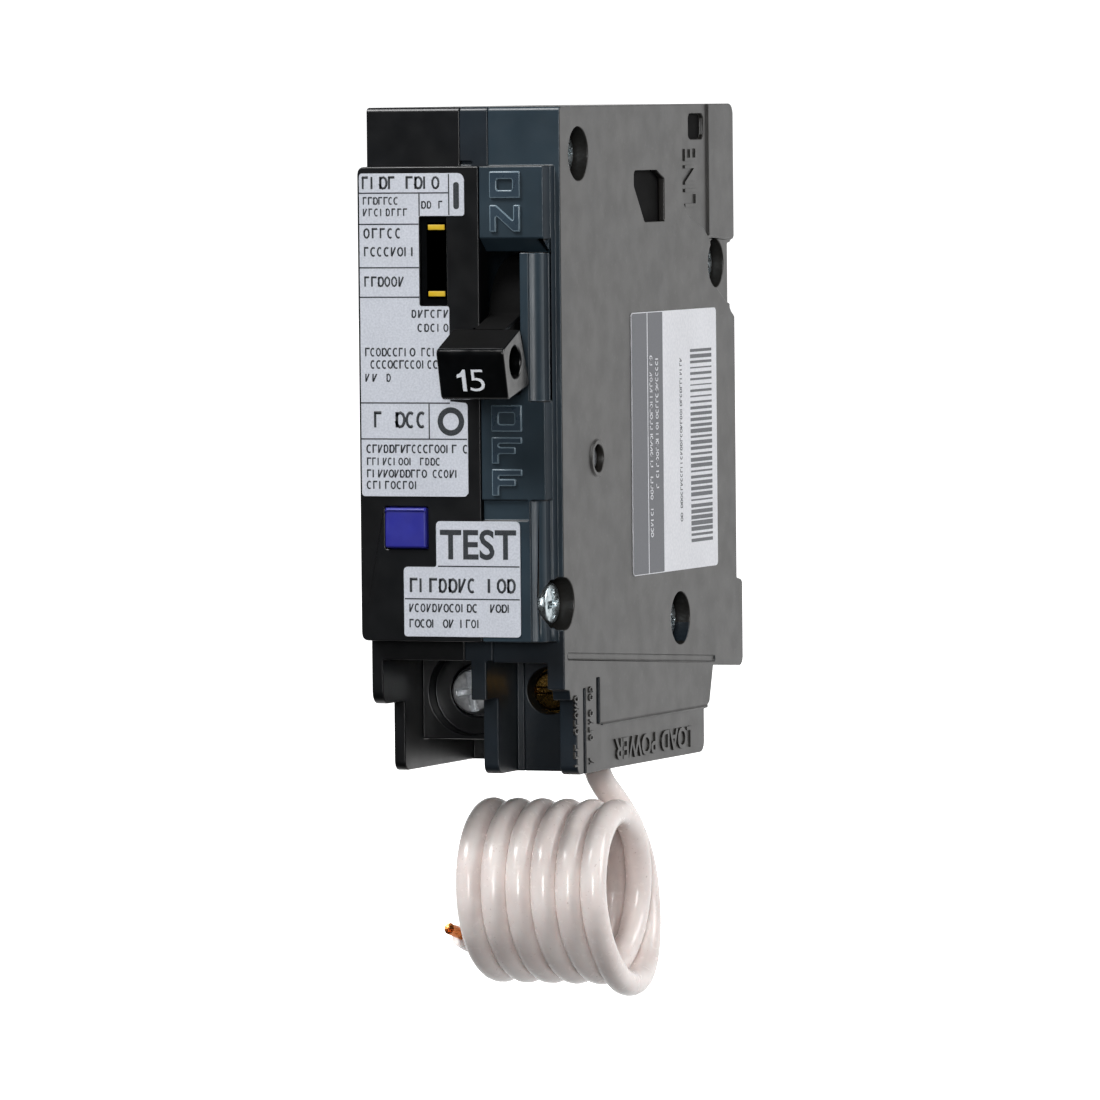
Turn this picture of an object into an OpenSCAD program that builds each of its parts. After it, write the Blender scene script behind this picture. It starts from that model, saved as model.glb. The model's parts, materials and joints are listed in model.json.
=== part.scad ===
/* [Case] */
// Width of the whole breaker, one pole space
body_w = 25.4; // [20:0.1:30]
// Depth from the back face to the shoulder of the front
body_d = 60.5; // [50:0.5:70]
// Height of the top edge above the origin
top_z = 41.2; // [35:0.1:50]
// How far the raised front stands out
raise = 3.1; // [2:0.1:5]
// Outer wall thickness
wall = 1.5; // [1.2:0.1:2.5]

/* [Handle] */
// Angle of the handle below level when it is off
off_deg = 18.5; // [10:0.5:25]
// Width of the handle tip
tip_w = 8.8; // [6:0.1:10]
// Radius of the tie hole
tie_r = 1.9; // [1:0.05:2.2]

/* [Pigtail] */
// Diameter over the insulation
wire_d = 3.3; // [2.5:0.1:4]
// Mean radius of a turn
turn_r = 10.05; // [8:0.05:14]
// Number of turns
turns = 6; // [4:1:9]

/* [Node] */
// Which sub-part to draw

/* [Hidden] */
hw = body_w / 2;
fy = -body_d;
ry = fy - raise;
seam_a = -0.4;
seam_b = 3.3;
piv = [-53.7, 15];
armp = [-40, 10];
crad = [-48.9, -2];
wr = wire_d / 2;
// thickness of the labels
label_t = 0.12;
// floor of the screw seats in the side, and the seats, each [Y, Z]
seat_x = 9.6;
seats = [[-54.3, 35.4], [-6.3, 21.1], [-60.2, -19.3], [-20.4, -23.1]];
// the raised front, from its lower to its upper edge
front_z = [-23.9, 34];
// radius of its outer edge on the switch side
round_r = 1.8;
// handle room in the front walls
room_z = [6.4, 23.6];
// top of the terminal cavities and depth of the driver wall
cavity_z = -26.4;
driver_y = -47.6;
// terminal screws, each [X, Z]
load_c = [-5, -31];
driver_r = 5.4;
neutral_c = [6.6, -30.6];
// bearing bores of the handle, the arm and the cradle
piv_r = 1.3;
arm_r = 1.05;
crad_r = 1.25;
pin_play = 0.05;
// lower edges of the two lamp holes, their height and their sides
lamp_z = [26.1, 18];
lamp_h = 1;
lamp_x = [-3.5, -1.3];
// stem of the test button, [X, Z]
button_c = [-6.6, -10.05];
// solenoid axis, [X, Z], its bore and its plunger
coil_c = [-4.6, 10.6];
bore_r = 1.8;
// centre of the contacts, [X, distance from the arm's pin]
touch_c = [5.75, 18.4];
// face of the circuit board that carries the parts
board_x = -8.7;
// centre of the pigtail's turns and of its first turn
coil_y = -37;
coil_z = -56.35;
first_x = 10.9;
pitch = wire_d;
coil_x1 = first_x + wr;
coil_x0 = first_x - (turns - 0.5) * pitch - wr / 2;
exit_x = 6.2;
exit_y = -34;

// ---------- helpers ----------
module yz(x0, x1) {
  translate([x0, 0, 0]) rotate([90, 0, 90]) linear_extrude(x1 - x0) children();
}
module xz(y0, y1) {
  translate([0, y1, 0]) rotate([90, 0, 0]) linear_extrude(y1 - y0) children();
}
module bx(x0, x1, y0, y1, z0, z1) {
  translate([x0, y0, z0]) cube([x1 - x0, y1 - y0, z1 - z0]);
}
module cx(r, x0, x1, y, z) {
  translate([x0, y, z]) rotate([0, 90, 0]) cylinder(r = r, h = x1 - x0);
}
module cy(r, y0, y1, x, z) {
  translate([x, y1, z]) rotate([90, 0, 0]) cylinder(r = r, h = y1 - y0);
}
module cz(r, z0, z1, x, y) {
  translate([x, y, z0]) cylinder(r = r, h = z1 - z0);
}
module rod(a, b, r) {
  run = b - a;
  translate(a) rotate([0, acos(run[2] / norm(run)), atan2(run[1], run[0])])
    cylinder(r = r, h = norm(run));
}
function arc(cx, cy, r, a0, a1, n = 6) =
  [for (i = [0:n]) [cx + r * cos(a0 + (a1 - a0) * i / n), cy + r * sin(a0 + (a1 - a0) * i / n)]];

// ---------- side profiles ----------
// back edge, from the top corner down to the bottom corner
back_pts = concat(
  arc(-1.4, top_z - 1.4, 1.4, 90, 0),
  [[0, 24.4], [-0.7, 23.6], [-1.7, 23.5], [-1.7, 15.4], [-1.2, 14.9]],
  [[0, 14.2], [0, -19], [1.6, -19.3], [2, -19.7]],
  arc(0.8, -29.1, 1.2, 0, -80),
  [[-8.8, -29.7], [-10.2, -34.2], [-11.2, -34.8], [-11.2, -39.1]],
  arc(-12.6, -39.1, 1.4, 0, -90));
left_front = concat(
  arc(-52.3, -39.3, 1.2, 270, 180),
  [[-53.5, -31.9]],
  arc(fy + 1.6, -30.3, 1.6, 270, 180),
  arc(fy + 0.6, top_z - 0.6, 0.6, 180, 90));
center_front = concat(
  arc(-55.3, -39.3, 1.2, 270, 180),
  [[-56.5, -31.2], [fy, -31.2]],
  arc(fy + 0.6, top_z - 0.6, 0.6, 180, 90));
right_front = concat(
  arc(-55.3, -39.3, 1.2, 270, 180),
  [[-56.5, -31.2], [-58.6, -31.2], [-58.9, -30], [fy, -29.8]],
  arc(fy + 0.6, top_z - 0.6, 0.6, 180, 90));
left_profile = concat(back_pts, left_front);
center_profile = concat(back_pts, center_front);
right_profile = concat(back_pts, right_front);
// room inside, kept clear of the back steps
room = [[-58.7, 39.4], [-1.8, 39.4], [-1.8, 25.8], [-4.1, 25], [-4.1, 13.8], [-1.8, 13],
  [-1.8, -24.6], [-58.7, -24.6]];
// lower room behind the terminals
low_room = [[-25, -26.4], [-11.4, -26.4], [-12.9, -34.8], [-12.9, -38.7], [-25, -38.7]];

module screw_tunnels(x0, x1, r) {
  for (s = seats) cx(r, x0, x1, s[0], s[1]);
}
// the third post is a block, because it stands against the front wall
module posts(x0, x1) {
  for (i = [0, 1, 3]) cx(4.2, x0, x1, seats[i][0], seats[i][1]);
  bx(x0, x1, -59.9, -55.8, front_z[0], -15.2);
}

// ---------- case ----------
module left_case() {
  color([0.09, 0.1, 0.11])
  difference() {
    union() {
      difference() {
        yz(-hw, seam_a) polygon(left_profile);
        yz(-hw + wall, seam_a + 1) polygon(room);
        yz(-hw + wall, seam_a + 1) polygon(low_room);
      }
      intersection() {
        posts(-hw + 1, seam_a);
        yz(-hw, seam_a) polygon(left_profile);
      }
    }
    // load cavity, open to the front and the bottom
    bx(-hw + wall, seam_a + 1, -70, driver_y, -50, cavity_z);
    // lug pocket and wire channel
    bx(-hw + wall, seam_a + 1, -43.6, -31, -50, cavity_z);
    // driver hole in the terminal wall
    cy(driver_r, -49, -45.4, load_c[0], load_c[1]);
    cy(3.3, -46, -42, load_c[0], load_c[1]);
    bx(-hw + wall, seam_a + 1, -49, -42, -50, -36.9);
    screw_tunnels(-9.4, seam_a + 1, 1.6);
    // light pipe holes and button stem hole
    for (z = lamp_z) bx(lamp_x[0], lamp_x[1], -62, -57, z, z + lamp_h);
    cy(1.2, -62, -57, button_c[0], button_c[1]);
    // slot for the load strap
    bx(-6.4, -3.6, -31, -28.4, -27, -24);
    // room for the strap's leg under the floor
    bx(-6.4, -3.6, -31.2, -28.4, -30.6, -26);
  }
}

module center_base() {
  color([0.1, 0.11, 0.12])
  difference() {
    union() {
      difference() {
        yz(seam_a, seam_b) polygon(center_profile);
        for (side = [[seam_a - 1, 0.4], [2, seam_b + 1]]) {
          yz(side[0], side[1]) polygon(room);
          yz(side[0], side[1]) polygon(low_room);
        }
      }
      intersection() {
        union() {
          posts(seam_a, 0.5);
          posts(1.9, seam_b);
        }
        yz(seam_a, seam_b) polygon(center_profile);
      }
      // bearing bosses for the pins
      cx(2.6, 1.9, 3.1, piv[0], piv[1]);
      cx(2.2, 1.9, 3.1, armp[0], armp[1]);
      cx(2.4, 1.9, 3.1, crad[0], crad[1]);
    }
    // both terminal cavities, leaving the middle wall
    bx(seam_a - 1, 0.4, -70, driver_y, -50, cavity_z);
    bx(seam_a - 1, 0.4, -43.6, -31, -50, cavity_z);
    intersection() {
      cy(driver_r, -49, -45.4, load_c[0], load_c[1]);
      bx(seam_a - 1, 0.4, -50, -40, -40, -20);
    }
    bx(seam_a - 1, 0.4, -49, -42, -50, -36.9);
    bx(2.4, seam_b + 1, -70, -50.2, -50, cavity_z);
    bx(2.4, seam_b + 1, -47.2, -41.2, -50, cavity_z);
    // the front strip stops short of the lower prong
    bx(seam_a - 1, 0.4, -60.6, -50, -32, cavity_z);
    screw_tunnels(seam_a - 1, seam_b + 1, 1.6);
    cx(piv_r, 0.9, 4, piv[0], piv[1]);
    cx(arm_r, 0.9, 4, armp[0], armp[1]);
    cx(crad_r, 0.9, 4, crad[0], crad[1]);
    // slot for the load strap through the web
    bx(seam_a - 1, seam_b - 0.8, -31.4, -27.6, -22.9, -20.8);
    // handle room in the front wall
    bx(2.4, seam_b + 1, -62, -57, room_z[0], room_z[1]);
    // joint notch at the top of the strip
    bx(seam_a - 1, 1.2, -61, -60.1, 34.2, 34.6);
  }
}

module right_cover() {
  color([0.2, 0.2, 0.2])
  difference() {
    union() {
      difference() {
        union() {
          yz(seam_b, hw) polygon(right_profile);
          // raised front with a rounded outer edge
          bx(seam_b, 9.7, ry, fy + 0.1, front_z[0], front_z[1]);
          bx(9.6, 11.4, ry + round_r, fy + 0.1, front_z[0], front_z[1]);
          translate([9.6, ry + round_r, front_z[0]])
            cylinder(r = round_r, h = front_z[1] - front_z[0]);
          bx(11.3, 11.9, ry + 2, fy + 0.1, front_z[0], front_z[1]);
          // ON and OFF pads
          bx(seam_b, 11.7, ry, fy + 0.1, 25.1, front_z[1]);
          bx(seam_b, 11.7, ry, fy + 0.1, -6.6, 5.4);
        }
        yz(seam_b - 1, hw - wall) polygon(room);
        yz(seam_b - 1, hw - wall) polygon(low_room);
      }
      intersection() {
        posts(seam_b, hw - 1);
        yz(seam_b, hw) polygon(right_profile);
      }
      cx(2.6, 9.6, hw - 1, piv[0], piv[1]);
      cx(2.2, 9.9, hw - 1, armp[0], armp[1]);
      // rim round the small side hole
      cx(2.3, hw - 0.2, hw + 0.25, crad[0], crad[1]);
      // long rib over the side step
      bx(hw - 0.6, hw + 0.2, -48.3, -11.4, -34.95, -34.6);
    }
    // neutral cavity, open to the front and the bottom
    bx(seam_b - 1, 10.4, -70, -50.2, -50, -26.6);
    // lug pocket and wire channel
    bx(seam_b - 1, 10.4, -47.2, -41.2, -50, -26.6);
    // driver hole
    cy(2.9, -51, -46, neutral_c[0], neutral_c[1]);
    // pigtail hole
    cz(1.9, -50, -27, exit_x, exit_y);
    // handle slot
    bx(seam_b - 1, 8.5, -70, -57, room_z[0], room_z[1]);
    // slanted top of the slot
    yz(seam_b - 1, 11.8) polygon([[ry - 1, 25.4], [ry, 25.3], [ry + 2.2, 23.5],
      [ry - 1, 23.5]]);
    // pocket for the neutral strap
    bx(4.5, 9.5, -41.5, -35.9, -28.1, -26.6);
    bx(4.5, 9.5, -41.5, -40.5, -33.1, -26.6);
    // flat recess under the OFF pad
    bx(seam_b - 1, 9.4, ry - 1, ry + 0.5, -9.1, -6.6);
    // screw seats
    for (i = [0 : 3]) cx([3.3, 3.1, 3.2, 3.3][i], seat_x, hw + 1, seats[i][0], seats[i][1]);
    screw_tunnels(seam_b - 1, hw, 1.6);
    // pin seats
    cx(piv_r, 9, 12, piv[0], piv[1]);
    cx(arm_r, 9, 12, armp[0], armp[1]);
    cx(1.7, 10, hw + 1, crad[0], crad[1]);
    // viewing hole in the side
    yz(10.5, hw + 1)
      polygon([[-34.9, 33.1], [-27.6, 33.1], [-24.8, 32], [-24.8, 26.7], [-31.7, 26.7],
        [-35.3, 31.2], [-35.3, 32.7]]);
    // pocket for the shield behind the viewing hole
    bx(10, hw - 0.85, -36.5, -23.4, 25.4, 34.4);
    // small square pocket
    yz(hw - 0.9, hw + 1) polygon([[-14.9, 40], [-10.6, 40], [-10.1, 39.5], [-10.1, 37.3],
      [-10.6, 36.8], [-14.9, 36.8], [-15.4, 37.3], [-15.4, 39.5]]);
    // shallow step in the side over the line jaw
    yz(hw - 0.3, hw + 1) polygon([[-18.3, 42], [-18.3, 29.5], [-16.9, 27.5], [-10.7, 25.5],
      [-8.6, 24], [-7.5, 20.8], [-7.3, 18.5], [-2.5, 15.9], [1, 15.9], [1, 23.9], [-9, 24.6],
      [-9, 42]]);
    // lower side set back under the rib
    bx(hw - 0.4, hw + 1, -48.3, -8, -42, -34.9);
    // grooves by the terminal
    bx(hw - 0.8, hw + 1, -49.8, -48.7, -34.6, -28.9);
    bx(hw - 0.6, hw + 1, -54.3, -53.5, -41, -30);
    // slanting crease
    translate([hw - 0.15, -59.4, -26.1]) rotate([-3.5, 0, 0]) cube([1, 51.2, 0.7]);
    // stab slot in the back
    bx(3.5, 8.5, -3, 1, 26.9, 39.1);
  }
}

module front_cover() {
  color([0.08, 0.09, 0.1])
  difference() {
    xz(ry, fy - 0.03) polygon(concat(arc(-hw + 0.8, front_z[1] - 0.8, 0.8, 180, 90, 4),
      [[seam_b - 0.1, front_z[1]], [seam_b - 0.1, front_z[0]]],
      arc(-hw + 0.8, front_z[0] + 0.8, 0.8, 270, 180, 4)));
    bx(-hw + 1.3, seam_b - 1.2, ry + 1.3, fy + 1, front_z[0] + 1.3, front_z[1] - 1.3);
    // indicator window
    bx(-4.5, -1, ry - 1, fy, 17, 28);
    // button hole
    bx(-9.45, -3.75, ry - 1, fy, -12.65, -7.45);
    cx(1.7, -9.4, 4, seats[2][0], seats[2][1]);
  }
}

module one_screw(y, z) {
  difference() {
    union() {
      cx(2.75, seat_x, seat_x + 1.7, y, z);
      cx(1.5, -8.6, seat_x + 0.1, y, z);
    }
    bx(seat_x + 0.9, hw, y - 1.8, y + 1.8, z - 0.35, z + 0.35);
    bx(seat_x + 0.9, hw, y - 0.35, y + 0.35, z - 1.8, z + 1.8);
  }
}
module case_screws() {
  color([0.75, 0.76, 0.78])
  for (s = seats) one_screw(s[0], s[1]);
}

// ---------- labels and front parts ----------
module rating_label() {
  color([0.78, 0.8, 0.83])
  xz(ry - label_t, ry)
    polygon([[-12.4, 33.2], [0.7, 33.2], [1.4, 32.5], [1.4, 28], [-4.6, 28], [-4.6, 17],
      [-0.7, 17], [-0.7, 5.4], [0.9, 5.4], [1.6, 4.7], [1.6, -5.7], [1.1, -6.2], [-12.4, -6.2]]);
}
module test_label() {
  color([0.78, 0.8, 0.83])
  xz(ry - label_t, ry)
    polygon([[-7, -23.3], [-7, -15.3], [-6.5, -14.8], [-2.7, -14.8], [-2.7, -9.6], [-2.3, -9.2],
      [7.9, -9.2], [8.3, -9.6], [8.3, -22.9], [7.9, -23.3]]);
}
module side_label() {
  color([0.86, 0.87, 0.9])
  yz(hw, hw + label_t)
    polygon([[-36.5, 15.5], [-7.7, 15.5], [-7.2, 15], [-7.2, -16.6], [-7.7, -17.1],
      [-36.5, -17.1], [-37, -16.6], [-37, 15]]);
}
module letter_o(z) {
  xz(ry - 0.35, ry) difference() {
    translate([4.75, z]) square([4, 3.3]);
    translate([5.75, z + 1]) square([2, 1.3]);
  }
}
module letter_n(z) {
  xz(ry - 0.35, ry) polygon([[4.75, z], [5.65, z], [5.65, z + 1.9], [7.85, z], [8.75, z],
    [8.75, z + 3.3], [7.85, z + 3.3], [7.85, z + 1.4], [5.65, z + 3.3], [4.75, z + 3.3]]);
}
module letter_f(z) {
  xz(ry - 0.35, ry) polygon([[4.75, z], [5.7, z], [5.7, z + 1.2], [7.9, z + 1.2],
    [7.9, z + 2.1], [5.7, z + 2.1], [5.7, z + 2.45], [8.75, z + 2.45], [8.75, z + 3.3],
    [4.75, z + 3.3]]);
}
module onoff_letters() {
  color([0.16, 0.18, 0.21]) {
    letter_o(30.1);
    letter_n(26);
    letter_o(1.7);
    letter_f(-2.2);
    letter_f(-6.1);
  }
}
module led_window() {
  color([0.05, 0.05, 0.06, 0.8])
  difference() {
    bx(-4.45, -1.05, ry + 0.25, ry + 1.2, 17.05, 27.95);
    for (z = lamp_z) bx(lamp_x[0] - 0.06, lamp_x[1] + 0.06, ry - 1, ry + 2, z, z + lamp_h);
  }
}
module status_leds() {
  color([0.95, 0.72, 0.1])
  for (z = lamp_z) bx(lamp_x[0], lamp_x[1], ry + 0.12, ry + 1.3, z + 0.05, z + lamp_h - 0.05);
}
module light_pipes() {
  color([0.9, 0.9, 0.85, 0.5])
  for (z = lamp_z)
    bx(lamp_x[0] + 0.1, lamp_x[1] - 0.1, ry + 1.3, -56.5, z + 0.1, z + lamp_h - 0.1);
}
module test_button() {
  color([0.13, 0.14, 0.6]) {
    difference() {
      union() {
        bx(-9.3, -3.9, ry - 0.5, ry + 1.6, -12.5, -7.6);
        bx(-10, -3.2, ry + 1.45, ry + 1.85, -13.4, -6.7);
        cy(1, ry + 1.8, -57.9, button_c[0], button_c[1]);
      }
      bx(-9.3, -3.9, ry - 1, ry - 0.35, -7.9, -7);
    }
  }
}
module test_spring() {
  color([0.8, 0.6, 0.35]) {
    bx(-8, -4.6, -56.3, -56, -14.8, -6);
    bx(-8, -4.6, -56.3, -52, -15.1, -14.8);
  }
}

// ---------- handle ----------
module handle_at() {
  translate([0, piv[0], piv[1]]) rotate([off_deg, 0, 0]) children();
}
module handle() {
  color([0.08, 0.09, 0.1])
  handle_at()
  difference() {
    union() {
      cx(8, 3.6, 7.9, 0, 0);
      bx(3.6, 7.9, -13.5, 0, -3.4, 3.4);
      yz(5.7 - tip_w / 2, 5.7 + tip_w / 2)
        polygon([[-12.5, -3.8], [-13.3, 3.75], [-19.2, 3.3], [-19.6, 2.9], [-19.9, -2.7],
          [-19.5, -3.15]]);
      translate([0, 0, -3.2]) linear_extrude(6.4)
        polygon([[3.6, -11.8], [7.9, -11.8], [5.7 + tip_w / 2, -13.4], [5.7 - tip_w / 2, -13.4]]);
      // crank on the inner side
      yz(4.4, 7.1) polygon([[0, -3], [10.2, -5.2], [10.6, -3.4], [2, 3]]);
    }
    cx(tie_r, -1, 12, -16.1, 0.5);
    cx(piv_r, -1, 12, 0, 0);
  }
}
module digit_one(x, z) {
  polygon([[x, z], [x + 0.55, z], [x + 0.55, z + 2.7], [x + 0.1, z + 2.7], [x - 0.5, z + 2.2],
    [x - 0.5, z + 1.8], [x, z + 1.95]]);
}
module digit_five(x, z) {
  polygon([[x, z + 0.1], [x + 1.4, z], [x + 1.9, z + 0.5], [x + 1.9, z + 1.2], [x + 1.4, z + 1.7],
    [x + 0.6, z + 1.7], [x + 0.65, z + 2.2], [x + 1.8, z + 2.2], [x + 1.8, z + 2.7],
    [x + 0.15, z + 2.7], [x, z + 1.2], [x + 1.15, z + 1.2], [x + 1.35, z + 1.05],
    [x + 1.35, z + 0.7], [x + 1.15, z + 0.5], [x, z + 0.6]]);
}
module handle_digits() {
  color([0.92, 0.93, 0.95])
  handle_at()
  translate([0, -19.9, -2.7]) rotate([-3.06, 0, 0])
    xz(-0.1, 0) {
      digit_one(4.2, 1.1);
      digit_five(5.5, 1.1);
    }
}
module handle_pin() {
  color([0.7, 0.71, 0.73]) cx(piv_r - pin_play, 0.95, 11.9, piv[0], piv[1]);
}

// ---------- switching parts ----------
arm_closed = 36.87;
arm_open = 22.87;
module arm_at(a) {
  translate([0, armp[0], armp[1]]) rotate([a, 0, 0]) children();
}
module contact_arm() {
  color([0.78, 0.45, 0.28])
  arm_at(arm_open)
  difference() {
    union() {
      cx(2.4, 4.6, 6.9, 0, 0);
      bx(4.6, 6.9, 0, 20.4, -1.6, 1.7);
    }
    cx(arm_r, 3, 8, 0, 0);
  }
}
module moving_contact() {
  color([0.85, 0.86, 0.88])
  arm_at(arm_open)
    cz(1.6, 1.7, 2.9, touch_c[0], touch_c[1]);
}
module arm_spring() {
  color([0.6, 0.61, 0.63])
  arm_at(arm_open) {
    for (i = [0:2])
      translate([3.5 + 0.45 * i, 0, 0]) rotate([0, 90, 0])
        rotate_extrude() translate([2, 0]) circle(r = 0.2);
    bx(3.35, 4.6, 1.9, 2.3, -0.2, 0.2);
  }
}
module arm_pin() {
  color([0.7, 0.71, 0.73]) cx(arm_r - pin_play, 0.95, 11.9, armp[0], armp[1]);
}
module fixed_contact() {
  color([0.85, 0.86, 0.88])
  arm_at(arm_closed) cz(1.8, 2.98, 4.15, touch_c[0], touch_c[1]);
}
module line_strap() {
  // a slanting run under the contact, then a level run into the jaw
  color([0.78, 0.45, 0.28])
  yz(4.4, 7.1) polygon([[-29.85, 22.8], [-23.29, 27.72], [-19.3, 31.2], [-17, 31.2],
    [-17, 32.6], [-19.9, 32.6], [-24.1, 28.8], [-30.66, 23.88]]);
}
module line_jaw() {
  color([0.8, 0.5, 0.3]) {
    bx(3.7, 8.3, -17, -16, 27.4, 38.6);
    for (s = [0, 1])
      translate([6, 0, 27.4]) mirror([s, 0, 0]) linear_extrude(11.2)
        polygon([[1.6, -16.1], [0.7, -9.2], [1.7, -5.6], [2.4, -5.6], [1.5, -9.2], [2.3, -16.1]]);
  }
}
module jaw_spring() {
  color([0.62, 0.63, 0.65])
  difference() {
    bx(2.5, 9.5, -18.6, -8.4, 33.4, 38);
    bx(3.1, 8.9, -18, -8, 33, 38.6);
  }
}
module arc_plates() {
  color([0.55, 0.56, 0.58])
  for (z = [13.4 : 2.5 : 24])
    bx(3, 9, -18.9, -11.2, z, z + 1);
}
module arc_frame() {
  color([0.55, 0.4, 0.3]) {
    for (x = [2.4, 9]) bx(x, x + 0.6, -19.1, -11, 12.6, 25);
  }
}
module cradle() {
  color([0.62, 0.63, 0.65])
  translate([0, crad[0], crad[1]])
  difference() {
    union() {
      cx(2.6, 8.2, 9.3, 0, 0);
      yz(8.2, 9.3) polygon([[-1, 2], [5, 7.6], [6.6, 6.6], [2, 0], [14.6, -6.2], [14.2, -8.2],
        [-1, -2.2]]);
    }
    cx(crad_r, 7, 11, 0, 0);
  }
}
module cradle_pin() {
  color([0.7, 0.71, 0.73]) cx(crad_r - pin_play, 0.95, 12.2, crad[0], crad[1]);
}
module bimetal() {
  color([0.72, 0.66, 0.5]) {
    bx(4.4, 7.2, -29.6, -28.9, -20.9, 3);
    bx(4.4, 7.2, -29.6, -27, 3, 3.7);
  }
}
module magnet_yoke() {
  color([0.5, 0.51, 0.53])
  difference() {
    bx(3, 8.6, -31.6, -25.4, -17, -5);
    bx(4, 7.6, -32, -26.6, -18, -4);
  }
}
module armature() {
  color([0.5, 0.51, 0.53])
  difference() {
    union() {
      bx(3.2, 8.4, -34.2, -33.2, -17.6, -1);
      cx(1, 3.2, 8.4, -33.7, -0.6);
    }
    cx(0.5, 3, 9, -33.7, -0.6);
  }
}
module flex_braid() {
  color([0.8, 0.45, 0.25])
  yz(5, 6.6) polygon([[-41.4, 6.8], [-38.6, 6.6], [-36.4, 2], [-36, -6], [-35.6, -19.4],
    [-29.7, -19.4], [-29.7, -20.6], [-36.8, -20.6], [-37.3, -6], [-37.6, 1.6], [-39.4, 5.4],
    [-41.4, 5.6]]);
}
module load_strap() {
  color([0.78, 0.45, 0.28]) {
    bx(-6, 7.2, -31, -28, -22.4, -21);
    bx(-6, -4, -31, -28.9, -30.2, -22.3);
  }
}

module vent_shield() {
  color([0.06, 0.06, 0.07]) bx(10.2, hw - 0.9, -36.3, -23.6, 25.6, 34.2);
}

// ---------- terminals ----------
module load_lug() {
  color([0.7, 0.71, 0.72])
  difference() {
    bx(-9.3, -0.7, -43.4, -31, -35.6, -27.2);
    cz(3, -40, -20, load_c[0], -36.2);
    cy(2.35, -50, -36, load_c[0], load_c[1]);
  }
}
module load_screw() {
  color([0.8, 0.81, 0.83])
  difference() {
    union() {
      cy(2.9, -47, -44.6, load_c[0], load_c[1]);
      cy(2.3, -44.7, -39.4, load_c[0], load_c[1]);
    }
    bx(load_c[0] - 2.4, load_c[0] + 2.4, -48, -46, load_c[1] - 0.4, load_c[1] + 0.4);
    bx(load_c[0] - 0.4, load_c[0] + 0.4, -48, -46, load_c[1] - 2, load_c[1] + 2);
  }
}
module neutral_lug() {
  color([0.72, 0.58, 0.3])
  difference() {
    bx(2.6, 10.2, -47, -41.4, -35.4, -27);
    cz(2.05, -40, -20, neutral_c[0], -43.8);
    cy(1.65, -50, -44, neutral_c[0], neutral_c[1]);
  }
}
module neutral_screw() {
  color([0.75, 0.6, 0.3])
  difference() {
    union() {
      cy(2.5, -49.6, -47.8, neutral_c[0], neutral_c[1]);
      cy(1.6, -47.9, -46, neutral_c[0], neutral_c[1]);
    }
    bx(neutral_c[0] - 2.2, neutral_c[0] + 2.2, -51, -49, neutral_c[1] - 0.35, neutral_c[1] + 0.35);
  }
}
module neutral_strap() {
  color([0.78, 0.45, 0.28]) {
    bx(4.6, 9.4, -41.4, -36, -28, -27);
    bx(4.6, 9.4, -41.4, -40.6, -33, -27.5);
  }
}

// ---------- electronics ----------
module circuit_board() {
  color([0.1, 0.35, 0.2]) bx(board_x - 1.6, board_x, -54.6, -12, -17, 29.4);
}
module current_sensor() {
  color([0.2, 0.2, 0.22])
  difference() {
    cx(8, board_x, -2.6, -24, -6);
    cx(4, -9, -2, -24, -6);
  }
}
module solenoid_frame() {
  color([0.6, 0.61, 0.63])
  difference() {
    bx(board_x, -0.7, -50.6, -38.4, 5.6, 15.6);
    bx(-9, 0, -49.8, -39.2, 6.4, 14.8);
    cy(bore_r, -52, -36, coil_c[0], coil_c[1]);
  }
}
module solenoid_coil() {
  color([0.7, 0.35, 0.15])
  difference() {
    cy(3.7, -49.8, -39.2, coil_c[0], coil_c[1]);
    cy(bore_r, -52, -36, coil_c[0], coil_c[1]);
  }
}
module plunger() {
  color([0.68, 0.69, 0.7]) {
    cy(bore_r - 0.08, -48, -35, coil_c[0], coil_c[1]);
    cy(2.6, -35.1, -34, coil_c[0], coil_c[1]);
  }
}
module capacitors() {
  color([0.15, 0.16, 0.3]) {
    cx(3.4, board_x, -1.6, -45.5, 24.6);
    cx(2.6, board_x, -3, -37, 24.8);
  }
}
module varistor() {
  color([0.15, 0.3, 0.6]) cx(4.2, board_x, -5.8, -27, 22);
}
module chips() {
  color([0.08, 0.08, 0.09]) {
    bx(board_x, -7.2, -46, -40, -8, -1);
    bx(board_x, -7.4, -19, -14, 12, 20);
  }
}

// ---------- pigtail ----------
// the lead leaves the case, runs down behind the turns and comes forward under the first one
lead_c = [[exit_x, exit_y, -28], [exit_x, exit_y, -34], [exit_x, exit_y, -39.2],
  [6.25, -33.5, -41.6], [6.6, -31.6, -43.7], [7.2, -28.4, -46], [8, -25.4, -49.6],
  [8.6, -23.8, -53.5], [9, -23.4, -57.5], [9.5, -24.4, -61.7], [10.2, -26.9, -65.2],
  [10.9, -30.8, -67.5], [11.3, -35.4, -68.05], [11.4, -40, -67], [11.3, -43.9, -63.9],
  [11.1, -46.3, -60], [10.9, -47.05, -56.35]];
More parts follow.
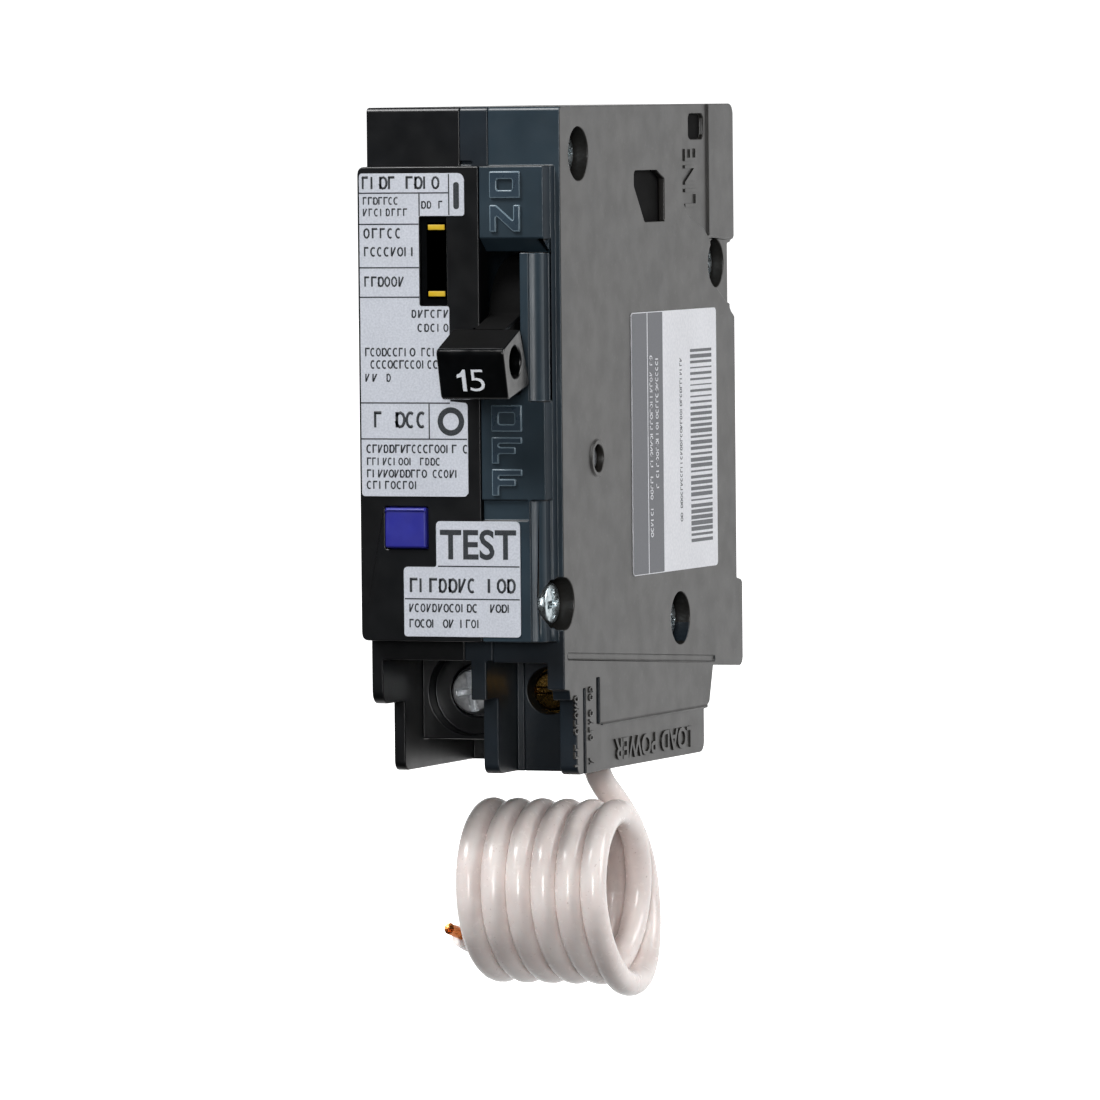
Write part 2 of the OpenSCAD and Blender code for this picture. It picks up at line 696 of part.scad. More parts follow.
// the loose tail leaves the last turn and points forward on the load side
tail_c = [[-7.2, -26.95, -56.35], [-7.5, -27.2, -59.3], [-8.4, -28.5, -62.2],
  [-9.4, -31.3, -63.9], [-10.1, -34.4, -63.2], [-10.6, -36.6, -62.1]];
tip_c = [-11.5, -40.2, -60.9];
function unit(v) = v / norm(v);
lead_n = 10;
function ring_pt(c, t, k) =
  let (u = unit(t), e1 = unit(cross([1, 0.01, 0], u)), e2 = cross(u, e1))
  c + wr * (cos(360 * k / lead_n) * e1 + sin(360 * k / lead_n) * e2);
function run_of(c, i, first) =
  i == 0 ? first : i == len(c) - 1 ? c[i] - c[i - 1] : c[i + 1] - c[i - 1];
module wire_tube(c, first, last) {
  n = len(c);
  dirs = [for (i = [0 : n - 1]) i == n - 1 ? last : run_of(c, i, first)];
  pts = [for (i = [0 : n - 1]) for (k = [0 : lead_n - 1]) ring_pt(c[i], dirs[i], k)];
  sides = [for (i = [0 : n - 2]) for (k = [0 : lead_n - 1])
    [i * lead_n + k, i * lead_n + (k + 1) % lead_n, (i + 1) * lead_n + (k + 1) % lead_n,
      (i + 1) * lead_n + k]];
  cap_a = [for (k = [lead_n - 1 : -1 : 0]) k];
  cap_b = [for (k = [0 : lead_n - 1]) (n - 1) * lead_n + k];
  polyhedron(points = pts, faces = concat(sides, [cap_a, cap_b]));
}
module pigtail_lead() {
  color([0.9, 0.85, 0.83]) wire_tube(lead_c, [0, 0, -1], [0, 0, 1]);
}
module pigtail_tail() {
  color([0.9, 0.85, 0.83]) wire_tube(tail_c, [0, 0, -1], tip_c - tail_c[5]);
}
module pigtail_coil() {
  color([0.9, 0.85, 0.83])
  translate([coil_x0, coil_y, coil_z]) rotate([0, 90, 0])
    rotate_extrude() translate([turn_r - wr, 0]) square([wire_d, coil_x1 - coil_x0]);
}
module pigtail_end() {
  color([0.85, 0.45, 0.2])
    rod(tail_c[5], tip_c, 1.05);
}

left_case();
center_base();
right_cover();
front_cover();
case_screws();
rating_label();
test_label();
side_label();
onoff_letters();
led_window();
status_leds();
light_pipes();
test_button();
test_spring();
handle();
handle_digits();
handle_pin();
contact_arm();
moving_contact();
arm_spring();
arm_pin();
cradle();
cradle_pin();
fixed_contact();
line_strap();
line_jaw();
jaw_spring();
arc_plates();
arc_frame();
bimetal();
magnet_yoke();
armature();
flex_braid();
load_strap();
load_lug();
load_screw();
neutral_lug();
neutral_screw();
neutral_strap();
circuit_board();
current_sensor();
solenoid_frame();
solenoid_coil();
plunger();
capacitors();
varistor();
chips();
pigtail_lead();
pigtail_coil();
pigtail_tail();
pigtail_end();
vent_shield();
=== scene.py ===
"""Looks of a one-pole plug-on breaker with a push-to-test button and a coiled white pigtail.

Every length in the classes is in millimetres, and meshes are made in metres.
X runs across the width towards the switch side, Y out of the back and Z up towards the line end.
"""
import json
import logging
import math
from dataclasses import dataclass
from enum import Enum
from typing import Callable, Sequence

import bmesh
import bpy
from mathutils import Matrix, Vector


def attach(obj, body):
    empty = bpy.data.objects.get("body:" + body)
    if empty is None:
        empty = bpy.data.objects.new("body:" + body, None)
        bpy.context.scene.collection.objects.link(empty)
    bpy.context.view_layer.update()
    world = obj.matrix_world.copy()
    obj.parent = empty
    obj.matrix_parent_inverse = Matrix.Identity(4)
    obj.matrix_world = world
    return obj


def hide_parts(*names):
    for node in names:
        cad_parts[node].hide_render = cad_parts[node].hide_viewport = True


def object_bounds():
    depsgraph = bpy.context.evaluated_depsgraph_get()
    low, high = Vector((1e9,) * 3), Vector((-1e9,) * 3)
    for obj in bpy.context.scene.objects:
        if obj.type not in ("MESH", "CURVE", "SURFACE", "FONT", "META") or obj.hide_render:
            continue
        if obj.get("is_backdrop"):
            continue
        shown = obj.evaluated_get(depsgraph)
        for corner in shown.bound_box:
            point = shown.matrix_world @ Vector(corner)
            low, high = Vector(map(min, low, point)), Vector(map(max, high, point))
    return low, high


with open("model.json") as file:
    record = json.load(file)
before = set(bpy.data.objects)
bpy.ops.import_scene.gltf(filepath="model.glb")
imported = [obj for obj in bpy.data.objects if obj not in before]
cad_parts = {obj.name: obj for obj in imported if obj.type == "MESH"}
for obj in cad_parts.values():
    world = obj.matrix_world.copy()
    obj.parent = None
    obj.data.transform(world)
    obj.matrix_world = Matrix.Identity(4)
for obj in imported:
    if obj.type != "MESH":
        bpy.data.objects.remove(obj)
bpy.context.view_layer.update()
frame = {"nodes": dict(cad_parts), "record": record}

MM = 0.001
FULL_TURN = 2 * math.pi
WELD = 0.002
FLAT_ANGLE = 1.0
EDGE_ANGLE = 28.0
LOG = logging.getLogger("breaker")
Point = tuple[float, float]
Point3 = tuple[float, float, float]
Outline = Sequence[Point]
Place = Callable[[float, float, float], Vector]
Tree = bpy.types.NodeTree
Node = bpy.types.Node
Socket = bpy.types.NodeSocket
Thing = bpy.types.Object
Mesh = bpy.types.Mesh


# ---------- tools for nodes, colours and meshes ----------
def linear(hex_colour: str) -> tuple[float, float, float, float]:
    """Turns six sRGB hex digits into linear red, green, blue and an alpha of one."""
    channels = [int(hex_colour[i:i + 2], 16) / 255 for i in (0, 2, 4)]
    red, green, blue = [c / 12.92 if c <= 0.04045 else ((c + 0.055) / 1.055) ** 2.4 for c in channels]
    return red, green, blue, 1.0


def set_up(node: Node, values: dict) -> Node:
    """Sets a node's properties and inputs.

    Args:
        node: the node.
        values: values by a property's name, or by an input's name or number. A socket is linked.
    Returns:
        The node.
    """
    for key, value in values.items():
        if isinstance(value, Socket):
            node.id_data.links.new(value, node.inputs[key])
        elif isinstance(key, str) and hasattr(node, key):
            setattr(node, key, value)
        else:
            node.inputs[key].default_value = value
    return node


def add_node(tree: Tree, kind: str, values: dict | None = None) -> Node:
    """Adds a node to a tree and sets it up."""
    return set_up(tree.nodes.new(kind), values or {})


def scale_for(size_mm: float) -> float:
    """The scale of a noise texture whose features are size_mm apart, on coordinates in metres."""
    return 1.0 / (size_mm * MM)


def new_object(name: str, data: bpy.types.ID) -> Thing:
    """Links a mesh, curve, light or camera into the scene as an object at the origin."""
    piece = bpy.data.objects.new(name, data)
    bpy.context.scene.collection.objects.link(piece)
    return piece


def evaluated_mesh(piece: Thing) -> Mesh:
    """The mesh that a piece has after its modifiers, or that its text makes."""
    graph = bpy.context.evaluated_depsgraph_get()
    return bpy.data.meshes.new_from_object(piece.evaluated_get(graph))


def bake(piece: Thing) -> None:
    """Puts a piece's evaluated mesh in place of its own, and removes its modifiers."""
    mesh = evaluated_mesh(piece)
    piece.modifiers.clear()
    piece.data = mesh


def mesh_from(shape: bmesh.types.BMesh, name: str) -> Mesh:
    """Turns a finished shape into a mesh, and frees the shape."""
    mesh = bpy.data.meshes.new(name)
    shape.to_mesh(mesh)
    shape.free()
    return mesh


# ---------- finishes ----------
class Paint:
    """The nodes of one material, while its finish adds to them."""

    def __init__(self, name: str, colour: str, roughness: float) -> None:
        """Starts a material with an even colour and roughness."""
        self.made = bpy.data.materials.new(name)
        self.made.use_nodes = True
        self.made.diffuse_color = linear(colour)
        self.tree = self.made.node_tree
        self.shader = self.tree.nodes["Principled BSDF"]
        self.put({"Base Color": linear(colour), "Roughness": roughness})
        self.coords = self.add("ShaderNodeTexCoord").outputs["Object"]

    def add(self, kind: str, values: dict | None = None) -> Node:
        """Adds a node, as add_node does."""
        return add_node(self.tree, kind, values)

    def put(self, values: dict) -> None:
        """Sets inputs of the shader."""
        set_up(self.shader, values)

    def noise(self, size_mm: float, detail: float, coords: Socket | None = None) -> Socket:
        """A cloudy value whose features are size_mm across."""
        return self.add("ShaderNodeTexNoise", {"Scale": scale_for(size_mm), "Detail": detail,
                                               "Vector": coords or self.coords}).outputs["Fac"]

    def between(self, value: Socket, low: float, high: float, start: float = 0.35,
                stop: float = 0.65) -> Socket:
        """Spreads a value that runs from start to stop over the range from low to high."""
        return self.add("ShaderNodeMapRange", {"From Min": start, "From Max": stop, "To Min": low,
                                               "To Max": high, "Value": value}).outputs["Result"]

    def patches(self, size_mm: float, detail: float, *ranges: float) -> Socket:
        """A cloudy value spread as between does."""
        return self.between(self.noise(size_mm, detail), *ranges)

    def blend(self, factor: Socket, first: Socket | str, second: Socket | str) -> Socket:
        """Blends two colours, each a socket or hex digits, by a value."""
        one, other = (linear(c) if isinstance(c, str) else c for c in (first, second))
        return self.add("ShaderNodeMix", {"data_type": "RGBA", 0: factor, 6: one, 7: other}).outputs[2]

    def relief(self, height: Socket, depth_mm: float, under: Socket | None = None) -> Socket:
        """Raises the surface.

        Args:
            height: the value that gives the height.
            depth_mm: the height of a value of one.
            under: a relief that this one lies on.
        Returns:
            The new normal.
        """
        lying = {} if under is None else {"Normal": under}
        bump = self.add("ShaderNodeBump", {"Distance": depth_mm * MM, "Strength": 1.0, "Height": height,
                                           **lying}).outputs["Normal"]
        self.put({"Normal": bump})
        return bump


@dataclass(frozen=True)
class Finish:
    """A material made once and shared by the pieces that have it."""

    name: str
    colour: str
    roughness: float

    def dress(self, paint: Paint) -> None:
        """Adds this finish's own nodes."""
        raise NotImplementedError

    def material(self) -> bpy.types.Material:
        """The finish as a node material, made on the first call."""
        found = bpy.data.materials.get(self.name)
        if found:
            return found
        paint = Paint(self.name, self.colour, self.roughness)
        self.dress(paint)
        return paint.made


@dataclass(frozen=True)
class Thermoset(Finish):
    """Compression-moulded glass-filled polyester: a dark satin skin with flow clouds and fine grain."""

    cloud: str = "101214"
    grain_mm: float = 0.22
    grain_depth: float = 0.004
    cloud_mm: float = 9.0
    dust: float = 0.0
    shine: float = 0.5

    def dress(self, paint: Paint) -> None:
        """Clouds break the colour, gloss drifts over the wall and a fine grain softens reflections."""
        tint = paint.blend(paint.patches(self.cloud_mm, 5.0, 0.0, 1.0), self.colour, self.cloud)
        specks = paint.patches(0.5, 2.0, 0.0, self.dust, 0.62, 0.72)
        gloss = paint.patches(3.0, 4.0, self.roughness - 0.02, self.roughness + 0.04)
        paint.put({"Base Color": paint.blend(specks, tint, "9A9A98"), "Roughness": gloss, "IOR": 1.54,
                   "Specular IOR Level": self.shine})
        waves = paint.relief(paint.noise(6.0, 2.0), 0.02)
        paint.relief(paint.noise(self.grain_mm, 2.0), self.grain_depth, waves)


@dataclass(frozen=True)
class GlossMoulding(Finish):
    """Injection-moulded nylon: a deep even colour with a soft shine and faint handling marks."""

    worn: str = "2A2A2C"

    def dress(self, paint: Paint) -> None:
        """Rubbed patches are a little lighter and shinier, over a very fine grain."""
        rubbed = paint.patches(2.6, 4.0, 0.0, 1.0, 0.45, 0.75)
        gloss = paint.patches(1.4, 3.0, self.roughness + 0.07, self.roughness - 0.05)
        paint.put({"Base Color": paint.blend(rubbed, self.colour, self.worn), "Roughness": gloss,
                   "IOR": 1.53})
        paint.relief(paint.noise(0.18, 2.0), 0.003)


class Brush(Enum):
    """The direction in which a metal piece was rolled or drawn."""

    ACROSS = (0.12, 1.0, 1.0)
    TALL = (1.0, 1.0, 0.12)
    NONE = (1.0, 1.0, 1.0)


@dataclass(frozen=True)
class Metal(Finish):
    """Rolled or turned metal: fine drawn lines one way, with a darker stain in patches."""

    stain: str = "6B6B6B"
    line_mm: float = 0.12
    brush: Brush = Brush.TALL
    stain_mm: float = 3.5

    def dress(self, paint: Paint) -> None:
        """Lines stretch the highlights one way, and stains keep the plate from looking new."""
        stained = paint.patches(self.stain_mm, 5.0, 0.0, 0.8, 0.42, 0.75)
        drawn = paint.add("ShaderNodeMapping", {"Scale": self.brush.value, "Vector": paint.coords})
        lines = paint.noise(self.line_mm, 2.0, drawn.outputs["Vector"])
        paint.put({"Metallic": 1.0, "Base Color": paint.blend(stained, self.colour, self.stain),
                   "Roughness": paint.between(lines, self.roughness - 0.05, self.roughness + 0.12)})
        paint.relief(lines, 0.004)


@dataclass(frozen=True)
class LabelStock(Finish):
    """Pressure-sensitive label stock: a pale satin face with a faint fibre or flake."""

    flake: str = "B9BEC8"
    flake_mm: float = 0.25

    def dress(self, paint: Paint) -> None:
        """Flakes give the face its slight sparkle, and clouds stop it from being one flat tone."""
        flakes = paint.patches(self.flake_mm, 2.0, 0.0, 0.6)
        tint = paint.blend(flakes, self.colour, self.flake)
        clouds = paint.patches(7.0, 3.0, 0.94, 1.0)
        toned = paint.add("ShaderNodeMix", {"data_type": "RGBA", "blend_type": "MULTIPLY", 0: 1.0,
                                            6: tint, 7: clouds}).outputs[2]
        gloss = paint.between(flakes, self.roughness, self.roughness + 0.15, 0.0, 0.6)
        paint.put({"Base Color": toned, "Roughness": gloss})
        paint.relief(paint.noise(1.6, 3.0), 0.01)


@dataclass(frozen=True)
class PressInk(Finish):
    """Label ink: a thin dull film that is a little uneven where it was pressed on."""

    thin: str = "55585C"

    def dress(self, paint: Paint) -> None:
        """Thin spots let some of the stock through, so that strokes aren't solid black."""
        thin = paint.patches(0.16, 3.0, 0.0, 0.75)
        paint.put({"Base Color": paint.blend(thin, self.colour, self.thin)})
        paint.relief(thin, 0.002)


@dataclass(frozen=True)
class Resin(Finish):
    """Clear or tinted moulded resin: a bright smooth skin with faint moulding swirls."""

    see_through: float = 0.0
    glow: float = 0.0
    swirl: str = "FFFFFF"

    def dress(self, paint: Paint) -> None:
        """Swirls move the reflection slightly, and a faint emission in the lens colour is painted light that
        keeps a lamp bright in shade.
        """
        swirls = paint.patches(1.2, 2.0, 0.0, 0.35)
        paint.put({"Base Color": paint.blend(swirls, self.colour, self.swirl),
                   "Transmission Weight": self.see_through, "IOR": 1.5,
                   "Emission Color": linear(self.colour), "Emission Strength": self.glow})
        paint.relief(paint.noise(2.0, 1.0), 0.01)


@dataclass(frozen=True)
class Jacket(Finish):
    """Extruded vinyl insulation: a milky glossy skin, slightly pink, with scuffs along the wire."""

    scuff: str = "B7A49E"
    shade: str = "DCCFCB"

    def dress(self, paint: Paint) -> None:
        """Light sinks in a little, and scuffs and dust dull the shine in small patches."""
        tint = paint.blend(paint.patches(5.0, 4.0, 0.0, 0.5), self.colour, self.shade)
        scuffs = paint.patches(0.45, 4.0, 0.0, 0.7, 0.66, 0.78)
        gloss = paint.patches(0.9, 3.0, self.roughness, self.roughness + 0.12)
        paint.put({"Base Color": paint.blend(scuffs, tint, self.scuff), "Roughness": gloss,
                   "Subsurface Weight": 0.15, "Subsurface Scale": 1.0, "IOR": 1.53,
                   "Subsurface Radius": (0.6 * MM, 0.4 * MM, 0.35 * MM)})
        paint.relief(paint.noise(1.1, 2.0), 0.012)


@dataclass(frozen=True)
class Winding(Finish):
    """Wound or woven metal: close turns seen as even ridges across the piece."""

    wire_mm: float = 0.3
    along: str = "Z"
    valley: str = "1A0C06"
    metallic: float = 1.0

    def dress(self, paint: Paint) -> None:
        """Darkened hollows between the turns are painted shade, so that the block reads as many turns of wire.
        """
        waves = paint.add("ShaderNodeTexWave",
                          {"bands_direction": self.along, "Scale": 1.0 / (self.wire_mm * MM * 3.1),
                           "Distortion": 0.4, "Vector": paint.coords}).outputs["Fac"]
        paint.put({"Metallic": self.metallic,
                   "Base Color": paint.blend(waves, self.valley, self.colour)})
        paint.relief(waves, 0.06)


@dataclass(frozen=True)
class Board(Finish):
    """Solder-masked laminate: green mask with copper tracks showing through as lighter lines."""

    track: str = "2E8A4C"

    def dress(self, paint: Paint) -> None:
        """Tracks are ridges in a cell pattern, so the board reads as etched and not as a slab."""
        cells = paint.add("ShaderNodeTexVoronoi", {"feature": "DISTANCE_TO_EDGE", "Scale": scale_for(3.0),
                                                   "Vector": paint.coords}).outputs["Distance"]
        tracks = paint.between(cells, 1.0, 0.0, 0.06, 0.09)
        paint.put({"Base Color": paint.blend(tracks, self.colour, self.track)})
        paint.relief(tracks, 0.03)


class Stock:
    """Every finish of the breaker, by what it is and how it was made; some are copies that carry painted light
    or shade on chosen faces.
    """

    case_black = Thermoset("case_moulded_thermoset", "08090B", 0.34, "0D0F12")
    slate_black = Thermoset("base_moulded_thermoset", "161C22", 0.36, "1E272F")
    # This grey is partly painted sheen: lighter than the other black shells so the side walls read grey as if
    # lit from the side; the dust specks are real.
    cover = Thermoset("cover_thermoset_painted_side_sheen", "201F1D", 0.38, "262421", dust=0.04)
    # Slate-blue painted reflection for the front faces of the raised pads, on the same black moulding.
    pad_painted_reflection = Thermoset("pads_thermoset_painted_reflection", "222F38", 0.36, "2B3A44")
    # Mid-slate painted sheen for the side-facing strip beside the raised front.
    pad_edge_sheen = Thermoset("pads_edge_painted_sheen", "1A242C", 0.6, "212C35", shine=0.2)
    handle = GlossMoulding("handle_moulded_nylon", "050607", 0.19, "0A0C0E")
    # Darker, dull copy of the handle material: painted shade for the faces that would catch reflections.
    handle_painted_shade = Thermoset("handle_nylon_painted_shade", "050505", 0.85, "0A0A0B", shine=0.12)
    button = GlossMoulding("button_moulded_nylon", "26288E", 0.45, "2E319C")
    # The raised letters carry the pads' slate-blue painted reflection, a little lighter.
    legend = Thermoset("legend_ridges_painted_reflection", "2C3944", 0.28, "374652")
    # Lighter slate as a painted highlight along the rounded edges of the raised letters.
    legend_edge_highlight = Thermoset("legend_edges_painted_highlight", "63747F", 0.25, "71838E")
    foil = LabelStock("label_satin_foil", "D3D7E0", 0.42)
    paper = LabelStock("label_satin_paper", "E6E7EC", 0.5, "D6D8DE", 0.4)
    ink = PressInk("label_printed_ink", "24282D", 0.55, "3C4045")
    grey_ink = PressInk("label_grey_ink", "53565B", 0.55, "6C6F74")
    band_ink = PressInk("label_band_ink", "5A5C62", 0.5, "65676D")
    white_ink = PressInk("digits_pad_printed", "EEF1F6", 0.4, "DADFE8")
    window = Resin("window_smoked_acrylic", "060708", 0.12, 0.0, 0.0, "0B0D10")
    # The amber lenses carry a faint emission, painted light that keeps them bright in shade.
    amber = Resin("lamp_amber_resin", "CDAA28", 0.3, 0.0, 0.08, "DCC150")
    pipe = Resin("light_pipe_acrylic", "E9E6D8", 0.15, 0.7)
    zinc = Metal("screw_zinc_plated", "F1F3F5", 0.44, "A5A9AC", 0.3, Brush.NONE, 1.2)
    dark_zinc = Metal("screw_zinc_passivated", "C3CED2", 0.26, "0A1012", 0.25, Brush.NONE, 0.6)
    lug_tin = Metal("lug_tin_plated", "8E9194", 0.32, "5B5E61", 0.15, Brush.ACROSS)
    steel = Metal("spring_rolled_steel", "9A9DA1", 0.3, "5F6265", 0.12, Brush.TALL)
    copper = Metal("strap_rolled_copper", "C97B52", 0.28, "7E4630", 0.12, Brush.TALL)
    wire_copper = Metal("strand_drawn_copper", "E08A4A", 0.25, "A4532A", 0.1, Brush.ACROSS)
    brass = Metal("terminal_turned_brass", "A38040", 0.3, "4E3B1C", 0.12, Brush.NONE)
    # Brass darkened overall and in patches: painted shade for the neutral screw, which lies in shadow deep in
    # its hole.
    brass_painted_shade = Metal("screw_brass_painted_shade", "7A5E2E", 0.24, "2A1F0E", 0.2, Brush.NONE, 1.5)
    silver = Metal("contact_silver_tip", "DADBDD", 0.22, "8C8D8F", 0.15, Brush.NONE)
    bimetal = Metal("bimetal_rolled_strip", "B9AA86", 0.3, "84765A", 0.12, Brush.TALL)
    jacket = Jacket("wire_extruded_vinyl", "FAF0EC", 0.16)
    fibre = Thermoset("barrier_vulcanised_fibre", "5A3A28", 0.62, "6B4832")
    # Dull black for the vent plate, also used as painted shade on the faces inside the cover's recesses.
    vent_shield_and_recess_shade = Thermoset("vent_shield_and_painted_recess_shade", "050505", 0.85, "0A0A0B", shine=0.12)
    ferrite = Winding("sensor_wound_ring", "4A4036", 0.45, 0.5, "X", "14110E", 0.3)
    enamel = Winding("coil_enamelled_wire", "A4491E", 0.3, 0.3, "Z")
    braid = Winding("lead_copper_braid", "C0703F", 0.35, 0.35, "Z", "4A2412")
    board = Board("board_masked_laminate", "14532C", 0.35)
    dipped = GlossMoulding("part_dipped_epoxy", "1C3C86", 0.25, "274A9A")
    package = GlossMoulding("part_moulded_epoxy", "0E0F10", 0.45, "1A1B1D")


# ---------- shapes ----------
def body_of(node: str) -> str:
    """The body that a CAD node belongs to."""
    return next(b for b, nodes in frame["record"]["behaviour"]["bodies"].items() if node in nodes)


def fit_piece(piece: Thing, finish: Finish, node: str, replace: bool = False) -> Thing:
    """Gives a piece its finish and its body, and says what it stands for.

    Args:
        piece: the finished piece, in place.
        finish: what it is made of.
        node: the CAD node whose body and slot it shares.
        replace: whether it stands for that node.
    Returns:
        The piece.
    """
    if not piece.data.materials:
        piece.data.materials.append(finish.material())
    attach(piece, body_of(node))
    if replace:
        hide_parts(node)
    LOG.info("%s: %d faces, rides on %s", piece.name, len(getattr(piece.data, "polygons", [])),
             body_of(node))
    return piece


def dress_node(node: str, finish: Finish) -> None:
    """Puts a finish on a CAD node that shows as it is."""
    part = frame["nodes"][node]
    part.data.materials.clear()
    part.data.materials.append(finish.material())
    LOG.info("%s: CAD node in %s", node, finish.name)


def softened(node: str, name: str, width: float, finish: Finish, steps: int = 2) -> Thing:
    """Copies a CAD node and rounds its sharp edges.

    Args:
        node: the CAD node.
        name: the new piece's name.
        width: the round's width in millimetres.
        finish: what the piece is made of.
        steps: segments across the round.
    Returns:
        The piece that replaces the node.
    """
    shape = bmesh.new()
    shape.from_mesh(frame["nodes"][node].data)
    bmesh.ops.remove_doubles(shape, verts=shape.verts, dist=WELD * MM)
    bmesh.ops.dissolve_limit(shape, angle_limit=math.radians(FLAT_ANGLE), verts=shape.verts, edges=shape.edges)
    piece = new_object(name, mesh_from(shape, name))
    piece.data.shade_smooth()
    rounding = piece.modifiers.new("rounding", "BEVEL")
    rounding.width = width * MM
    rounding.segments = steps
    rounding.limit_method = "ANGLE"
    rounding.angle_limit = math.radians(EDGE_ANGLE)
    rounding.use_clamp_overlap = False
    rounding.miter_outer = "MITER_ARC"
    evening = piece.modifiers.new("evening", "WEIGHTED_NORMAL")
    evening.weight = 100
    bake(piece)
    return fit_piece(piece, finish, node, replace=True)


def second_finish(piece: Thing, finish: Finish,
                  chosen: Callable[[bpy.types.MeshPolygon], bool]) -> None:
    """Gives some faces of a piece another finish.

    Args:
        piece: the piece.
        finish: the other finish.
        chosen: tells whether a face gets it.
    """
    piece.data.materials.append(finish.material())
    for face in piece.data.polygons:
        if chosen(face):
            face.material_index = len(piece.data.materials) - 1


class Face(Enum):
    """An outer face that prints and marks lie on. Its points are (across, up, out)."""

    FRONT = "front"
    SIDE = "side"

    def turned(self) -> Matrix:
        """The turn that lays a flat (across, up, out) shape on this face."""
        if self is Face.FRONT:
            return Matrix(((1, 0, 0, 0), (0, 0, -1, 0), (0, 1, 0, 0), (0, 0, 0, 1)))
        return Matrix(((0, 0, 1, 0), (1, 0, 0, 0), (0, 1, 0, 0), (0, 0, 0, 1)))

    def place(self, across: float, up: float, out: float) -> Vector:
        """The point in metres for a place on this face in millimetres."""
        return self.turned() @ Vector((across, up, out)) * MM


def rounded(corners: Sequence[Point3], steps: int = 5) -> list[Point]:
    """An outline whose corners are arcs.

    Args:
        corners: (across, up, radius) in order round the outline.
        steps: segments in each arc.
    Returns:
        The outline's points.
    """
    outline: list[Point] = []
    count = len(corners)
    for i, (x, y, radius) in enumerate(corners):
        if radius <= 0:
            outline.append((x, y))
            continue
        here = Vector((x, y))
        before = (Vector(corners[i - 1][:2]) - here).normalized()
        after = (Vector(corners[(i + 1) % count][:2]) - here).normalized()
        half = before.angle(after) / 2
        centre = here + (before + after).normalized() * radius / math.sin(half)
        start = here + before * radius / math.tan(half) - centre
        stop = here + after * radius / math.tan(half) - centre
        for step in range(steps + 1):
            ray = start.normalized().slerp(stop.normalized(), step / steps)
            outline.append(tuple(centre + ray * radius))
    return outline


def circle(across: float, up: float, radius: float, steps: int = 32) -> list[Point]:
    """The points of a circle."""
    angles = [FULL_TURN * i / steps for i in range(steps)]
    return [(across + radius * math.cos(a), up + radius * math.sin(a)) for a in angles]


def box(left: float, right: float, low: float, high: float) -> list[Point]:
    """The points of an upright rectangle."""
    return [(left, low), (right, low), (right, high), (left, high)]


class Slabs:
    """Flat shapes raised from a face, gathered into one mesh."""

    def __init__(self, place: Place) -> None:
        """Starts with no shapes.

        Args:
            place: turns (across, up, out) into a point in metres.
        """
        self.place = place
        self.shape = bmesh.new()

    def add(self, outline: Outline, low: float, high: float,
            inner: Outline | None = None) -> None:
        """Adds one shape.

        Args:
            outline: its outer points.
            low: how far out its back is.
            high: how far out its face is.
            inner: the points of a hole, as many as the outline has.
        """
        loops = [outline] if inner is None else [outline, inner]
        lower, upper = ([[self.shape.verts.new(self.place(u, v, out)) for u, v in loop] for loop in loops]
                        for out in (low, high))
        bands = [*zip(lower, upper)] + ([] if inner is None else [lower, upper])
        made = []
        for first, second in bands:
            for i in range(len(first)):
                j = (i + 1) % len(first)
                made.append(self.shape.faces.new((first[i], first[j], second[j], second[i])))
        if inner is None:
            made += [self.shape.faces.new(lower[0]), self.shape.faces.new(upper[0])]
        bmesh.ops.recalc_face_normals(self.shape, faces=made)

    def finish(self, name: str) -> Thing:
        """Makes the piece from the shapes added so far."""
        return new_object(name, mesh_from(self.shape, name))


@dataclass
class Lettering:
    """A word in the plain built-in type, fitted into a box on a face."""

    word: str
    left: float
    right: float
    low: float
    high: float
    out_low: float
    out_high: float
    weight: float = 0.0

    def mesh(self) -> tuple[list[Vector], list[tuple[int, ...]]]:
        """The word's points as (across, up, out) in millimetres, and its faces."""
        type_curve = bpy.data.curves.new(self.word, "FONT")
        type_curve.body = self.word
        type_curve.extrude = 0.5
        type_curve.offset = self.weight
        type_curve.resolution_u = 4
        word = new_object(self.word, type_curve)
        flat = evaluated_mesh(word)
        bpy.data.objects.remove(word)
        spans = [(min(v.co[k] for v in flat.vertices), max(v.co[k] for v in flat.vertices))
                 for k in range(3)]
        ranges = ((self.left, self.right), (self.low, self.high), (self.out_low, self.out_high))
        points = [Vector([low + (v.co[k] - spans[k][0]) / (spans[k][1] - spans[k][0]) * (high - low)
                          for k, (low, high) in enumerate(ranges)]) for v in flat.vertices]
        faces = [tuple(f.vertices) for f in flat.polygons]
        bpy.data.meshes.remove(flat)
        return points, faces

    def piece(self, name: str, place: Place) -> Thing:
        """Makes the word as a solid piece.

        Args:
            name: the piece's name.
            place: turns (across, up, out) into a point in metres.
        Returns:
            The piece.
        """
        points, faces = self.mesh()
        shape = bmesh.new()
        corners = [shape.verts.new(place(*p)) for p in points]
        for face in faces:
            shape.faces.new([corners[i] for i in face])
        bmesh.ops.remove_doubles(shape, verts=shape.verts, dist=WELD / 4 * MM)
        bmesh.ops.recalc_face_normals(shape, faces=shape.faces)
        return new_object(name, mesh_from(shape, name))


